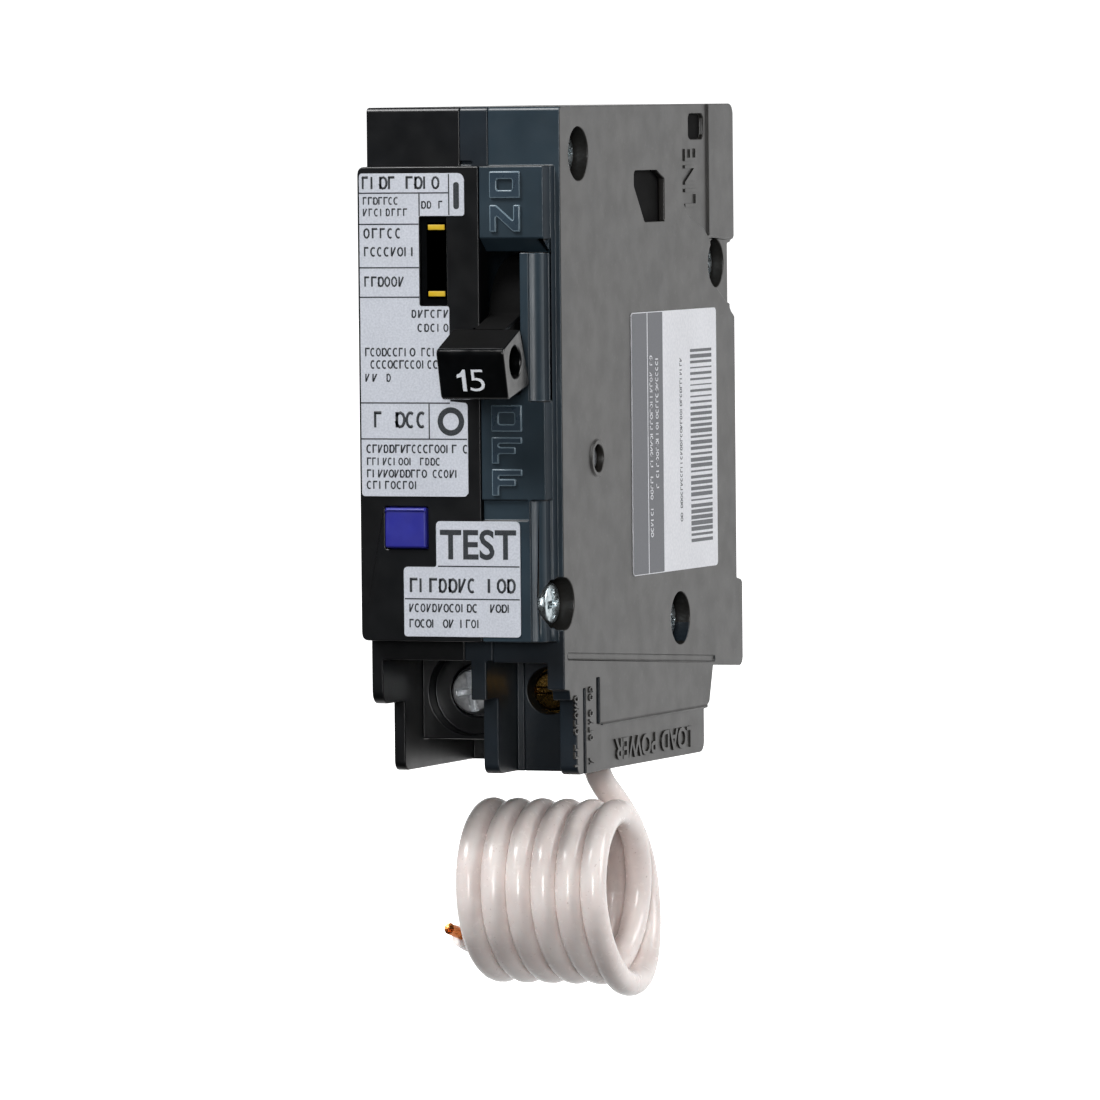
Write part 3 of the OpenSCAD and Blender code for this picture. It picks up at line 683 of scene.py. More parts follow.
class GrowthTree:
    """A Geometry Nodes tree with named inputs, used once and then baked into a plain mesh."""

    def __init__(self, name: str, **inputs: float | int | Vector) -> None:
        """Starts a tree.

        Args:
            name: the tree's name.
            inputs: its size inputs by name: integers, lengths in metres or vectors.
        """
        self.tree = bpy.data.node_groups.new(name, "GeometryNodeTree")
        self.values = inputs
        face = self.tree.interface
        face.new_socket("Geometry", in_out="INPUT", socket_type="NodeSocketGeometry")
        face.new_socket("Geometry", in_out="OUTPUT", socket_type="NodeSocketGeometry")
        self.keys = {}
        for label, value in inputs.items():
            kind = {int: "NodeSocketInt", Vector: "NodeSocketVector"}.get(type(value), "NodeSocketFloat")
            self.keys[label] = face.new_socket(label, in_out="INPUT", socket_type=kind).identifier
        self.given = self.add("NodeGroupInput")

    def add(self, kind: str, values: dict | None = None) -> Node:
        """Adds a node to the tree, as add_node does."""
        return add_node(self.tree, kind, values)

    def size(self, label: str) -> Socket:
        """The named input's socket."""
        return self.given.outputs[label]

    def maths(self, operation: str, first: Socket | float, second: Socket | float) -> Socket:
        """One sum on sockets or plain numbers."""
        return self.add("ShaderNodeMath", {"operation": operation, 0: first, 1: second}).outputs[0]

    def vector(self, x: Socket | float = 0.0, y: Socket | float = 0.0, z: Socket | float = 0.0) -> Socket:
        """A vector from sockets or plain numbers."""
        return self.add("ShaderNodeCombineXYZ", {0: x, 1: y, 2: z}).outputs[0]

    def random(self, low: float, high: float, seed: Socket, kind: str = "FLOAT") -> Socket:
        """A random value for each point, from a fixed seed."""
        lowest, highest, result = {"FLOAT": (2, 3, 1), "INT": (4, 5, 2)}[kind]
        return self.add("FunctionNodeRandomValue", {"data_type": kind, lowest: low, highest: high,
                                                    "Seed": seed}).outputs[result]

    def gather(self, parts: Sequence[Socket], kind: str = "GeometryNodeJoinGeometry") -> Socket:
        """Gathers several geometries into one, in their order."""
        node = self.add(kind)
        for part in parts:
            self.tree.links.new(part, node.inputs[0])
        return node.outputs[0]

    def grow(self, result: Socket, name: str, finish: Finish,
             start: Thing | None = None) -> Thing:
        """Ends the tree, runs it and keeps its result as a plain mesh.

        Args:
            result: the geometry that the tree made.
            name: the piece's name.
            finish: what the piece is made of.
            start: an object whose mesh the tree starts from.
        Returns:
            The piece.
        """
        real = self.add("GeometryNodeRealizeInstances", {"Geometry": result})
        dressed = self.add("GeometryNodeSetMaterial",
                           {"Material": finish.material(),
                            "Geometry": real.outputs[0]})
        self.add("NodeGroupOutput", {"Geometry": dressed.outputs[0]})
        piece = start or new_object(name, bpy.data.meshes.new(name))
        piece.name = name
        growth = piece.modifiers.new(name, "NODES")
        growth.node_group = self.tree
        for label, value in self.values.items():
            growth[self.keys[label]] = value
        bake(piece)
        bpy.data.node_groups.remove(self.tree)
        return piece


# ---------- camera and studio ----------
@dataclass
class ViewingCamera:
    """A long lens that looks slightly down on the front and the switch side."""

    azimuth: float = 21.453
    elevation: float = 2.637
    roll: float = -0.548
    distance: float = 1272.0
    focal: float = 334.8
    aim: Point3 = (1.19, -35.69, -13.99)

    def place(self) -> Thing:
        """Makes the camera and sets it as the scene's camera.

        Returns:
            The camera object.
        """
        turn, lift, tilt = (math.radians(a) for a in (self.azimuth, self.elevation, self.roll))
        back = Vector((math.sin(turn) * math.cos(lift), -math.cos(turn) * math.cos(lift), math.sin(lift)))
        level = Vector((math.cos(turn), math.sin(turn), 0))
        upright = back.cross(level)
        right = level * math.cos(tilt) + upright * math.sin(tilt)
        up = upright * math.cos(tilt) - level * math.sin(tilt)
        lens = bpy.data.cameras.new("viewing_camera")
        lens.lens = self.focal
        lens.sensor_width = 36.0
        lens.clip_end = 20.0
        camera = new_object("viewing_camera", lens)
        place = Matrix((right, up, back)).transposed().to_4x4()
        place.translation = (Vector(self.aim) + back * self.distance) * MM
        camera.matrix_world = place
        bpy.context.scene.camera = camera
        return camera


@dataclass
class Studio:
    """A pale floor under the hanging coil, a white surround and soft boxes.

    The surround is bright low behind the breaker and dim overhead and behind the lens, so that dark plastic
    stays dark on the front and turns grey on the sides that are seen at a slant.
    """

    floor_drop: float = 9.0
    floor_radius: float = 4000.0
    floor_steps: int = 64
    backdrop_strength: float = 1.15
    behind_strength: float = 1.35
    front_strength: float = 0.02
    dim_upwards: float = -1.6
    dim_from: float = -0.4

    def soft_box(self, name: str, place: Point3, aim: Point3, width: float, height: float,
                 watts: float) -> None:
        """Adds one rectangular soft box.

        Args:
            name: the light's name.
            place: its centre in millimetres.
            aim: the point it faces, in millimetres.
            width: its width in millimetres.
            height: its height in millimetres.
            watts: its power.
        """
        light = bpy.data.lights.new(name, "AREA")
        light.shape = "RECTANGLE"
        light.size = width * MM
        light.size_y = height * MM
        light.energy = watts
        lamp = new_object(name, light)
        lamp.location = Vector(place) * MM
        lamp.rotation_mode = "QUATERNION"
        lamp.rotation_quaternion = (Vector(aim) - Vector(place)).to_track_quat("-Z", "Y")

    def surround(self) -> None:
        """Sets the surround: one strength for the background seen, another that lights the breaker."""
        world = bpy.data.worlds.new("studio_surround")
        world.use_nodes = True
        tree = world.node_tree
        heading = add_node(tree, "ShaderNodeTexCoord").outputs["Generated"]
        parts = add_node(tree, "ShaderNodeSeparateXYZ", {0: heading}).outputs
        above = add_node(tree, "ShaderNodeMath", {"operation": "MAXIMUM", 0: parts["Z"], 1: 0.0})
        level = add_node(tree, "ShaderNodeMath",
                         {"operation": "MULTIPLY_ADD", 0: above.outputs[0], 1: self.dim_upwards,
                          2: parts["Y"]}).outputs[0]
        lit = add_node(tree, "ShaderNodeMapRange",
                       {"From Min": self.dim_from, "From Max": 1.0, "To Min": self.front_strength,
                        "To Max": self.behind_strength, "interpolation_type": "SMOOTHSTEP",
                        "Value": level}).outputs["Result"]
        seen = add_node(tree, "ShaderNodeLightPath").outputs["Is Camera Ray"]
        strength = add_node(tree, "ShaderNodeMix", {"data_type": "FLOAT", 0: seen, 2: lit,
                                                    3: self.backdrop_strength}).outputs[0]
        set_up(tree.nodes["Background"], {"Color": linear("FFFFFF"), "Strength": strength})
        bpy.context.scene.world = world

    def floor(self) -> None:
        """Lays the pale floor."""
        low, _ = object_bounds()
        level = low.z - self.floor_drop * MM
        radius = self.floor_radius * MM
        rim = [(x, y, level) for x, y in circle(0, 0, radius, self.floor_steps)]
        mesh = bpy.data.meshes.new("pale_floor")
        mesh.from_pydata(rim, [], [tuple(range(self.floor_steps))])
        floor = new_object("pale_floor", mesh)
        paint = Paint("floor_matt_white_paint", "FFFFFF", 0.95)
        paint.put({"Emission Color": linear("FFFFFF"), "Emission Strength": self.backdrop_strength})
        mesh.materials.append(paint.made)
        floor.visible_diffuse = False
        floor.visible_glossy = False
        floor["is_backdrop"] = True

    def build(self) -> None:
        """Makes the surround, the floor and the lights."""
        bpy.context.scene.view_settings.view_transform = "Standard"
        self.surround()
        self.floor()
        centre = (0, -30, 0)
        self.soft_box("front_box", (-420, -560, 820), centre, 500, 400, 12.0)
        self.soft_box("side_box", (900, 60, 420), centre, 500, 600, 6.0)
        self.soft_box("lens_box", (260, -860, 130), (0, -40, -56), 180, 340, 3.2)


# ---------- pigtail ----------
@dataclass
class Pigtail:
    """The neutral pigtail: a glossy stiff wire that leaves the case and winds into close turns."""

    wire: float = 3.3
    turn_radius: float = 10.05
    centre_y: float = -37.0
    centre_z: float = -56.35
    pitch: float = 3.3
    turns: float = 5.5
    first_x: float = 10.9
    points_per_turn: int = 20
    strands: int = 9
    strand: float = 0.62
    lay_radius: float = 0.4464
    twist: float = 0.35
    inside_jacket: float = 0.2
    node: str = "pigtail_end"

    def lead(self) -> list[Point3]:
        """The route out of the case, down behind the turns and forward under the first."""
        return [(6.2, -34, -28), (6.2, -34, -34), (6.2, -34, -39.2), (6.25, -33.5, -41.6),
                (6.6, -31.6, -43.7), (7.2, -28.4, -46), (8, -25.4, -49.6), (8.6, -23.8, -53.5),
                (9, -23.4, -57.5), (9.5, -24.4, -61.7), (10.2, -26.9, -65.2), (10.9, -30.8, -67.5),
                (11.3, -35.4, -68.05), (11.4, -40, -67), (11.3, -43.9, -63.9), (11.1, -46.3, -60)]

    def tail(self) -> list[Point3]:
        """The route of the loose tail after the last turn."""
        return [(-7.5, -27.2, -59.3), (-8.4, -28.5, -62.2), (-9.4, -31.3, -63.9),
                (-10.1, -34.4, -63.2), (-10.6, -36.6, -62.1)]

    def tip(self) -> Point3:
        """Where the bare copper ends."""
        return (-11.5, -40.2, -60.9)

    def coil(self) -> list[Point3]:
        """The turns, from the front of the first one over the top and towards the load side."""
        points = []
        for i in range(round(self.turns * self.points_per_turn) + 1):
            angle = FULL_TURN * i / self.points_per_turn
            points.append((self.first_x - self.pitch * i / self.points_per_turn,
                           self.centre_y - self.turn_radius * math.cos(angle),
                           self.centre_z + self.turn_radius * math.sin(angle)))
        return points

    def jacket(self) -> tuple[Thing, float]:
        """Lays the insulated wire on its route.

        Returns:
            The wire and its length in millimetres.
        """
        curve = bpy.data.curves.new("pigtail_wire", "CURVE")
        curve.dimensions = "3D"
        curve.bevel_depth = self.wire / 2 * MM
        curve.bevel_resolution = 6
        curve.use_fill_caps = True
        curve.materials.append(Stock.jacket.material())
        route = [Vector(p) for p in self.lead() + self.coil() + self.tail()]
        spline = curve.splines.new("NURBS")
        spline.points.add(len(route) - 1)
        for knot, place in zip(spline.points, route):
            knot.co = (*(place * MM), 1.0)
        spline.order_u = 4
        spline.use_endpoint_u = True
        spline.resolution_u = 4
        wire = new_object("pigtail_wire", curve)
        return wire, sum((b - a).length for a, b in zip(route, route[1:]))

    def bare_end(self) -> Thing:
        """Twists the bare copper strands that stand out of the jacket.

        Returns:
            The strands as one piece.
        """
        start, stop = (Vector(p) for p in (self.tail()[-1], self.tip()))
        growth = GrowthTree("twisted_strands", Strands=self.strands, Length=(stop - start).length * MM,
                            Lay_radius=self.lay_radius * MM, Strand=self.strand / 2 * MM, Twist=self.twist)
        spiral = growth.add("GeometryNodeCurveSpiral",
                            {"Resolution": 10,
                             "Rotations": growth.size("Twist"), "Start Radius": growth.size("Lay_radius"),
                             "End Radius": growth.size("Lay_radius"), "Height": growth.size("Length")})
        points = growth.add("GeometryNodeMeshLine",
                            {"Offset": (0.0, 0.0, 0.0),
                             "Count": growth.size("Strands")})
        share = growth.maths("DIVIDE", FULL_TURN, growth.size("Strands"))
        step = growth.maths("MULTIPLY", growth.add("GeometryNodeInputIndex").outputs[0], share)
        laid = growth.add("GeometryNodeInstanceOnPoints",
                          {"Points": points.outputs["Mesh"], "Instance": spiral.outputs["Curve"],
                           "Rotation": growth.vector(z=step)})
        middle = growth.vector(z=growth.size("Length"))
        core = growth.add("GeometryNodeCurvePrimitiveLine", {"End": middle})
        real = growth.add("GeometryNodeRealizeInstances", {"Geometry": laid.outputs["Instances"]})
        lines = growth.gather([real.outputs[0], core.outputs["Curve"]])
        section = growth.add("GeometryNodeCurvePrimitiveCircle",
                             {"Resolution": 8,
                              "Radius": growth.size("Strand")})
        strands = growth.add("GeometryNodeCurveToMesh",
                             {"Fill Caps": True,
                              "Curve": lines, "Profile Curve": section.outputs["Curve"]})
        piece = growth.grow(strands.outputs["Mesh"], "pigtail_bare_strands", Stock.wire_copper)
        turn = (stop - start).to_track_quat("Z", "Y").to_matrix().to_4x4()
        piece.data.transform(Matrix.Translation((start - (stop - start) * self.inside_jacket) * MM) @ turn)
        return piece

    def build(self) -> None:
        """Makes the wire and its bare end."""
        wire, length = self.jacket()
        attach(wire, body_of(self.node))
        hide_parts("pigtail_lead", "pigtail_coil", "pigtail_tail")
        end = fit_piece(self.bare_end(), Stock.wire_copper, self.node, replace=True)
        LOG.info("pigtail_wire: %.0f mm long", length)


# ---------- casing ----------
@dataclass
class Casing:
    """The four moulded walls of the case, with rounded edges and the raised words on them."""

    edge: float = 0.16
    side: float = 12.4
    bar_edge: float = 0.17
    facing_front: float = -0.4
    facing_side: float = 0.9
    bar_top: float = -0.97
    base_top: float = -24.0
    pads_front: float = -60.0
    pads_edge: float = -60.3
    recess_low: float = 10.0
    skin: float = 0.2

    def walls(self) -> None:
        """Rounds the edges of the walls and covers."""
        softened("left_case", "load_side_case", self.edge, Stock.case_black)
        softened("center_base", "middle_base", self.edge, Stock.slate_black)
        # The walls of the switch-side cover keep the lighter grey, a partly painted side sheen; its front
        # faces get other finishes below.
        cover = softened("right_cover", "switch_side_cover", self.edge, Stock.cover)
        # Front faces of the raised pads: a slate-blue painted reflection in place of the moulding's own black.
        second_finish(cover, Stock.pad_painted_reflection, lambda face: face.normal.y < self.facing_front
                      and face.center.y < self.pads_front * MM and face.center.z > self.base_top * MM)
        second_finish(cover, Stock.slate_black, lambda face: face.normal.y < self.facing_front
                      and face.center.z < self.base_top * MM)
        wall = (self.side - self.skin) * MM
        # Side faces inside the recesses: dull black painted shade, where the recess lies in shadow.
        second_finish(cover, Stock.vent_shield_and_recess_shade, lambda face: face.normal.x > self.facing_side
                      and self.recess_low * MM < face.center.x < wall)
        # Side-facing strip beside the raised front: a mid-slate painted sheen.
        second_finish(cover, Stock.pad_edge_sheen, lambda face: face.normal.x > self.facing_side
                      and face.center.x < wall and face.center.y < self.pads_edge * MM)
        softened("front_cover", "raised_front_cover", self.edge, Stock.case_black)
        softened("vent_shield", "vent_shield_plate", 0.1, Stock.vent_shield_and_recess_shade)

    def on_off_words(self) -> None:
        """Rounds the edges of the raised ON and OFF beside the handle."""
        # Letter tops carry the slate-blue painted reflection of the pads, a little lighter.
        words = softened("onoff_letters", "on_off_bars", self.bar_edge, Stock.legend, 3)
        # The rounded edges of the letters get a lighter slate: a painted highlight that outlines them.
        second_finish(words, Stock.legend_edge_highlight, lambda face: face.normal.y > self.bar_top)

    def moulded_words(self) -> None:
        """Raises LINE beside the line end and LOAD POWER beside the load end, on the side wall."""
        line = Lettering("LINE", 28.3, 35.6, 12.9, 17.2, self.side - 0.12, self.side + 0.22, weight=0.006)
        fit_piece(line.piece("line_word", lambda u, v, w: Face.SIDE.place(-v, u, w)),
                  Stock.cover, "right_cover")
        for word, left, right in (("LOAD", 16.2, 26.9), ("POWER", 28.6, 43.0)):
            mark = Lettering(word, left, right, 36.9, 39.6, self.side - 0.22, self.side + 0.1, weight=0.02)
            fit_piece(mark.piece(word.lower() + "_word", lambda u, v, w: Face.SIDE.place(-u, -v, w)),
                      Stock.cover, "right_cover")

    def terminal_marks(self) -> None:
        """Raises two upright rows of small marks on the side wall beside the neutral terminal."""
        SmallPrint(Face.SIDE, self.side + 0.2, 0.25, seed=13).print_rows(
            [Row(-39.4, -31.5, 56.3, 1.3), Row(-39.4, -30.6, 51.4, 1.2)],
            "terminal_marks", Stock.cover, "right_cover", upwards=True)

    def ejector_marks(self) -> None:
        """Leaves a thin raised ring on the load-side wall wherever an ejector pin met it."""
        growth = GrowthTree("ejector_pin_marks", Ring=1.9 * MM, Bead=0.07 * MM, Pitch_up=21.0 * MM,
                            Pitch_deep=24.0 * MM, Rows=3, Columns=2)
        spots = growth.add("GeometryNodeMeshGrid",
                           {"Vertices X": growth.size("Rows"), "Vertices Y": growth.size("Columns"),
                            "Size X": growth.maths("MULTIPLY", growth.size("Pitch_up"), 2.0),
                            "Size Y": growth.size("Pitch_deep")})
        circle_line = growth.add("GeometryNodeCurvePrimitiveCircle",
                                 {"Resolution": 40,
                                  "Radius": growth.size("Ring")})
        bead = growth.add("GeometryNodeCurvePrimitiveCircle",
                          {"Resolution": 8,
                           "Radius": growth.size("Bead")})
        ring = growth.add("GeometryNodeCurveToMesh",
                          {"Curve": circle_line.outputs[0], "Profile Curve": bead.outputs[0]})
        laid = growth.add("GeometryNodeInstanceOnPoints",
                          {"Points": spots.outputs[0], "Instance": ring.outputs[0]})
        piece = growth.grow(laid.outputs[0], "ejector_pin_rings", Stock.case_black)
        piece.data.transform(Matrix.Translation(Vector((-12.69, -30.0, 6.0)) * MM)
                             @ Matrix.Rotation(-math.pi / 2, 4, "Y"))
        fit_piece(piece, Stock.case_black, "left_case")

    def build(self) -> None:
        """Makes the walls, the raised words and the marks of the mould."""
        self.walls()
        self.on_off_words()
        self.moulded_words()
        self.terminal_marks()
        self.ejector_marks()


# ---------- labels ----------
@dataclass
class Row:
    """One row of small print: where it starts and stops, its foot and its height."""

    left: float
    right: float
    foot: float
    tall: float


@dataclass
class SmallPrint:
    """Rows of made-up marks that read as small print from a little way off."""

    face: Face
    out: float
    thick: float = 0.015
    pace: float = 0.74
    filled: float = 0.92
    stroke: float = 0.2
    seed: int = 7

    def glyphs(self, growth: GrowthTree) -> Socket:
        """Makes six plain marks, one unit tall, as a list of instances."""
        bars = (((0.08, 0, 0), (0.08, 1, 0)), ((0.1, 0, 0), (0.6, 1, 0)), ((0, 0.95, 0), (0.62, 0.95, 0)))
        lines = [growth.add("GeometryNodeCurvePrimitiveLine", {"Start": a, "End": b}).outputs[0]
                 for a, b in bars]
        for start, sweep in ((0.9, 4.4), (3.3, 5.7), (0.0, 6.28)):
            arc = growth.add("GeometryNodeCurveArc",
                             {"mode": "RADIUS", "Resolution": 10, "Radius": 0.46, "Start Angle": start,
                              "Sweep Angle": sweep})
            lines.append(growth.add("GeometryNodeTransform",
                                    {"Translation": (0.32, 0.5, 0), "Scale": (0.68, 1.0, 1.0),
                                     "Geometry": arc.outputs[0]}).outputs[0])
        stems = ((0,), (1, 0), (2, 0), (3,), (4, 0), (5,))
        stroke = growth.add("GeometryNodeCurvePrimitiveQuadrilateral",
                            {"mode": "RECTANGLE",
                             "Width": growth.size("Stroke"), "Height": growth.size("Thick")})
        shapes = []
        for members in stems:
            joined = growth.gather([lines[member] for member in members])
            shapes.append(growth.add("GeometryNodeCurveToMesh",
                                     {"Fill Caps": True, "Curve": joined,
                                      "Profile Curve": stroke.outputs[0]}).outputs[0])
        return growth.gather(shapes, "GeometryNodeGeometryToInstance")

    def print_rows(self, rows: Sequence[Row], name: str, finish: Finish, node: str,
                   upwards: bool = False) -> None:
        """Prints every row as one piece.

        Args:
            rows: the rows on the label's plane.
            name: the piece's name.
            finish: the ink.
            node: the label's CAD node.
            upwards: whether the rows read upwards, with their feet away from the front.
        """
        mesh = bpy.data.meshes.new(name)
        ends = [(x, row.foot, 0) for row in rows for x in (row.left, row.right)]
        mesh.from_pydata([Vector(p) * MM for p in ends], [(i, i + 1) for i in range(0, len(ends), 2)], [])
        tall = mesh.attributes.new("tall", "FLOAT", "POINT")
        for i, row in enumerate(rows):
            tall.data[2 * i].value = tall.data[2 * i + 1].value = row.tall * MM
        growth = GrowthTree(name + "_rows", Stroke=self.stroke, Thick=0.5, Pace=self.pace, Seed=self.seed)
        tallness = growth.add("GeometryNodeInputNamedAttribute",
                              {"data_type": "FLOAT", "Name": "tall"}).outputs["Attribute"]
        seed = growth.size("Seed")
        lines = growth.add("GeometryNodeMeshToCurve", {0: growth.given.outputs[0]})
        spaced = growth.add("GeometryNodeResampleCurve",
                            {"mode": "LENGTH", "Curve": lines.outputs[0],
                             "Length": growth.maths("MULTIPLY", tallness, growth.size("Pace"))})
        gaps = growth.add("FunctionNodeCompare",
                          {"data_type": "FLOAT", "operation": "LESS_THAN",
                           0: growth.random(0.0, 1.0, seed), 1: self.filled})
        widths = growth.random(0.8, 1.0, growth.maths("ADD", seed, 1))
        wide = growth.maths("MULTIPLY", tallness, widths)
        picked = growth.random(0, 5, growth.maths("ADD", seed, 2), "INT")
        scale = growth.vector(wide, tallness, 2 * self.thick * MM)
        marks = growth.add("GeometryNodeInstanceOnPoints",
                           {"Pick Instance": True,
                            "Points": spaced.outputs[0], "Instance": self.glyphs(growth),
                            "Selection": gaps.outputs[0], "Scale": scale, "Instance Index": picked})
        piece = growth.grow(marks.outputs[0], name, finish, new_object(name, mesh))
        piece.data.transform(Matrix.Translation((0, 0, (self.out + self.thick / 2) * MM)))
        if upwards:
            piece.data.transform(Matrix.Rotation(math.pi / 2, 4, "Z"))
        piece.data.transform(self.face.turned())
        piece.data.update()
        fit_piece(piece, finish, node)


@dataclass
class Label:
    """A label's wall, and the thickness of its stock and its ink."""

    wall: float = 63.6
    stock: float = 0.12
    ink: float = 0.015
    line: float = 0.16

    def printed(self) -> tuple[float, float]:
        """How far out the back and the face of the ink are."""
        return self.wall + self.stock, self.wall + self.stock + self.ink


@dataclass
class RatingLabel(Label):
    """The tall foil label left of the handle: thin rules, small print and two round marks."""

    node: str = "rating_label"

    def plate(self) -> None:
        """Cuts the label round the lamp window."""
        slabs = Slabs(Face.FRONT.place)
        slabs.add(rounded([(-12.4, -6.2, 0.4), (1.2, -6.2, 0.4), (1.6, -5.8, 0.3), (1.6, 5.2, 0.5),
                           (-0.7, 5.4, 0.1), (-0.7, 17, 0.3), (-4.6, 17, 0.3), (-4.6, 28, 0.3),
                           (1.4, 28, 0.3), (1.4, 33.2, 0.9), (-12.4, 33.2, 0.4)]),
                  self.wall, self.wall + self.stock)
        fit_piece(slabs.finish("rating_label_foil"), Stock.foil, self.node, replace=True)

    def rules(self) -> None:
        """Prints the rules, the bar for on and the ring for off."""
        low, high = self.printed()
        half = self.line / 2
        slabs = Slabs(Face.FRONT.place)
        for left, right, z in ((-12.4, -0.7, 30.8), (-12.4, -4.6, 27.0), (-12.4, -4.6, 21.7),
                               (-12.4, -4.6, 18.1), (-12.4, -0.7, 5.2), (-12.4, 1.5, 0.8)):
            slabs.add(box(left, right, z - half, z + half), low, high)
        for x, bottom, top in ((-4.5, 28.0, 30.7), (-0.6, 28.1, 33.1), (-3.45, 0.8, 5.1)):
            slabs.add(box(x - half, x + half, bottom, top), low, high)
        slabs.add(rounded([(0.0, 28.8, 0.35), (0.75, 28.8, 0.35), (0.75, 32.1, 0.35), (0.0, 32.1, 0.35)]),
                  low, high)
        slabs.add(circle(-0.6, 2.95, 1.75), low, high, circle(-0.6, 2.95, 1.05))
        fit_piece(slabs.finish("rating_label_rules"), Stock.ink, self.node)

    def build(self) -> None:
        """Makes the label, its rules and its print."""
        self.plate()
        self.rules()
        rows = [Row(-12.0, -1.6, 31.3, 1.5), Row(-11.9, -7.8, 29.4, 0.9), Row(-11.9, -6.6, 28.0, 0.9),
                Row(-4.2, -1.2, 28.9, 0.9), Row(-11.8, -7.6, 25.3, 1.2), Row(-11.8, -5.6, 23.1, 1.1),
                Row(-11.8, -7.3, 19.4, 1.2), Row(-5.6, -1.4, 15.6, 0.95), Row(-4.8, -1.4, 13.9, 0.95),
                Row(-11.8, -2.9, 10.9, 1.0), Row(-11.8, -2.8, 9.4, 1.0), Row(-11.8, -9.0, 7.8, 0.95),
                Row(-10.7, -5.0, 2.2, 1.9), Row(-11.7, 1.0, -0.9, 1.0), Row(-11.7, -2.6, -2.4, 0.9),
                Row(-11.7, -0.1, -3.9, 0.95), Row(-11.7, -5.4, -5.3, 0.95)]
        SmallPrint(Face.FRONT, self.printed()[0]).print_rows(
            rows, "rating_label_print", Stock.ink, self.node)


@dataclass
class TestLabel(Label):
    """The stepped foil label beside the button, with the word TEST and rows of small print."""

    node: str = "test_label"

    def build(self) -> None:
        """Makes the label and its print."""
        slabs = Slabs(Face.FRONT.place)
        slabs.add(rounded([(-7, -23.3, 0.4), (8.3, -23.3, 0.5), (8.3, -9.2, 0.6), (-2.7, -9.2, 0.5),
                           (-2.7, -14.8, 0.3), (-7, -14.8, 0.5)]), self.wall, self.wall + self.stock)
        fit_piece(slabs.finish("test_label_foil"), Stock.foil, self.node, replace=True)
        low, high = self.printed()
        half = self.line / 2
        rules = Slabs(Face.FRONT.place)
        for left, right, z in ((-2.5, 8.2, -14.7), (-6.9, 8.2, -18.7)):
            rules.add(box(left, right, z - half, z + half), low, high)
        fit_piece(rules.finish("test_label_rules"), Stock.ink, self.node)
        word = Lettering("TEST", -2.2, 7.8, -13.9, -10.2, low, high, weight=0.02)
        fit_piece(word.piece("test_word", Face.FRONT.place), Stock.ink, self.node)
        SmallPrint(Face.FRONT, low, seed=3).print_rows(
            [Row(-6.2, 6.6, -17.9, 1.7), Row(-6.3, 6.6, -20.3, 1.0), Row(-6.3, 2.6, -22.2, 1.0)],
            "test_label_print", Stock.ink, self.node)


@dataclass
class SideLabel(Label):
    """The paper label on the switch side: a grey band, a bar pattern and one faint row."""

    wall: float = 12.7
    node: str = "side_label"
    bars: int = 34
    bars_low: float = -13.6
    bars_high: float = 11.0
    bars_deep: tuple[float, float] = (-16.6, -9.0)

    def bar_pattern(self) -> None:
        """Stacks the bars of uneven thickness up the label."""
        span = (self.bars_high - self.bars_low) * MM
        deep = (self.bars_deep[1] - self.bars_deep[0]) * MM
        growth = GrowthTree("bar_pattern", Bars=self.bars, Span=span, Deep=deep, Thick=self.ink * MM,
                            Seed=11)
        pace = growth.maths("DIVIDE", growth.size("Span"), growth.size("Bars"))
        line = growth.add("GeometryNodeMeshLine",
                          {"Count": growth.size("Bars"), "Offset": growth.vector(y=pace)})
        bar = growth.add("GeometryNodeMeshCube")
        share = growth.maths("MULTIPLY", pace, growth.random(0.2, 0.82, growth.size("Seed")))
        scale = growth.vector(growth.size("Deep"), share, growth.size("Thick"))
        laid = growth.add("GeometryNodeInstanceOnPoints",
                          {"Points": line.outputs[0], "Instance": bar.outputs[0], "Scale": scale})
        piece = growth.grow(laid.outputs[0], "side_label_bars", Stock.grey_ink)
        middle = sum(self.bars_deep) / 2
        out = self.wall + self.stock + self.ink / 2
        piece.data.transform(Matrix.Translation(Vector((middle, self.bars_low, out)) * MM))
        piece.data.transform(Face.SIDE.turned())
        fit_piece(piece, Stock.grey_ink, self.node)

    def build(self) -> None:
        """Makes the label, its band and its print."""
        low, high = self.printed()
        slabs = Slabs(Face.SIDE.place)
        slabs.add(rounded([(-37, -17.1, 0.6), (-7.2, -17.1, 0.6), (-7.2, 15.5, 0.6), (-37, 15.5, 0.6)]),
                  self.wall, low)
        fit_piece(slabs.finish("side_label_paper"), Stock.paper, self.node, replace=True)
        band = Slabs(Face.SIDE.place)
        band.add(rounded([(-36.95, -17.0, 0.5), (-31.75, -17.0, 0), (-31.75, 15.4, 0),
                          (-36.95, 15.4, 0.5)]), low, high)
        band.add(box(-31.45, -26.3, -17.0, 15.4), low, high)
        fit_piece(band.finish("side_label_band"), Stock.band_ink, self.node)
        SmallPrint(Face.SIDE, high, seed=5).print_rows(
            [Row(-6.5, 9.5, 28.0, 0.9), Row(-12.5, 9.5, 30.0, 0.9)],
            "side_label_band_print", Stock.paper, self.node, upwards=True)
        SmallPrint(Face.SIDE, low, seed=9).print_rows(
            [Row(-11.0, 9.0, 19.6, 0.75)], "side_label_print", Stock.grey_ink, self.node, upwards=True)
        self.bar_pattern()


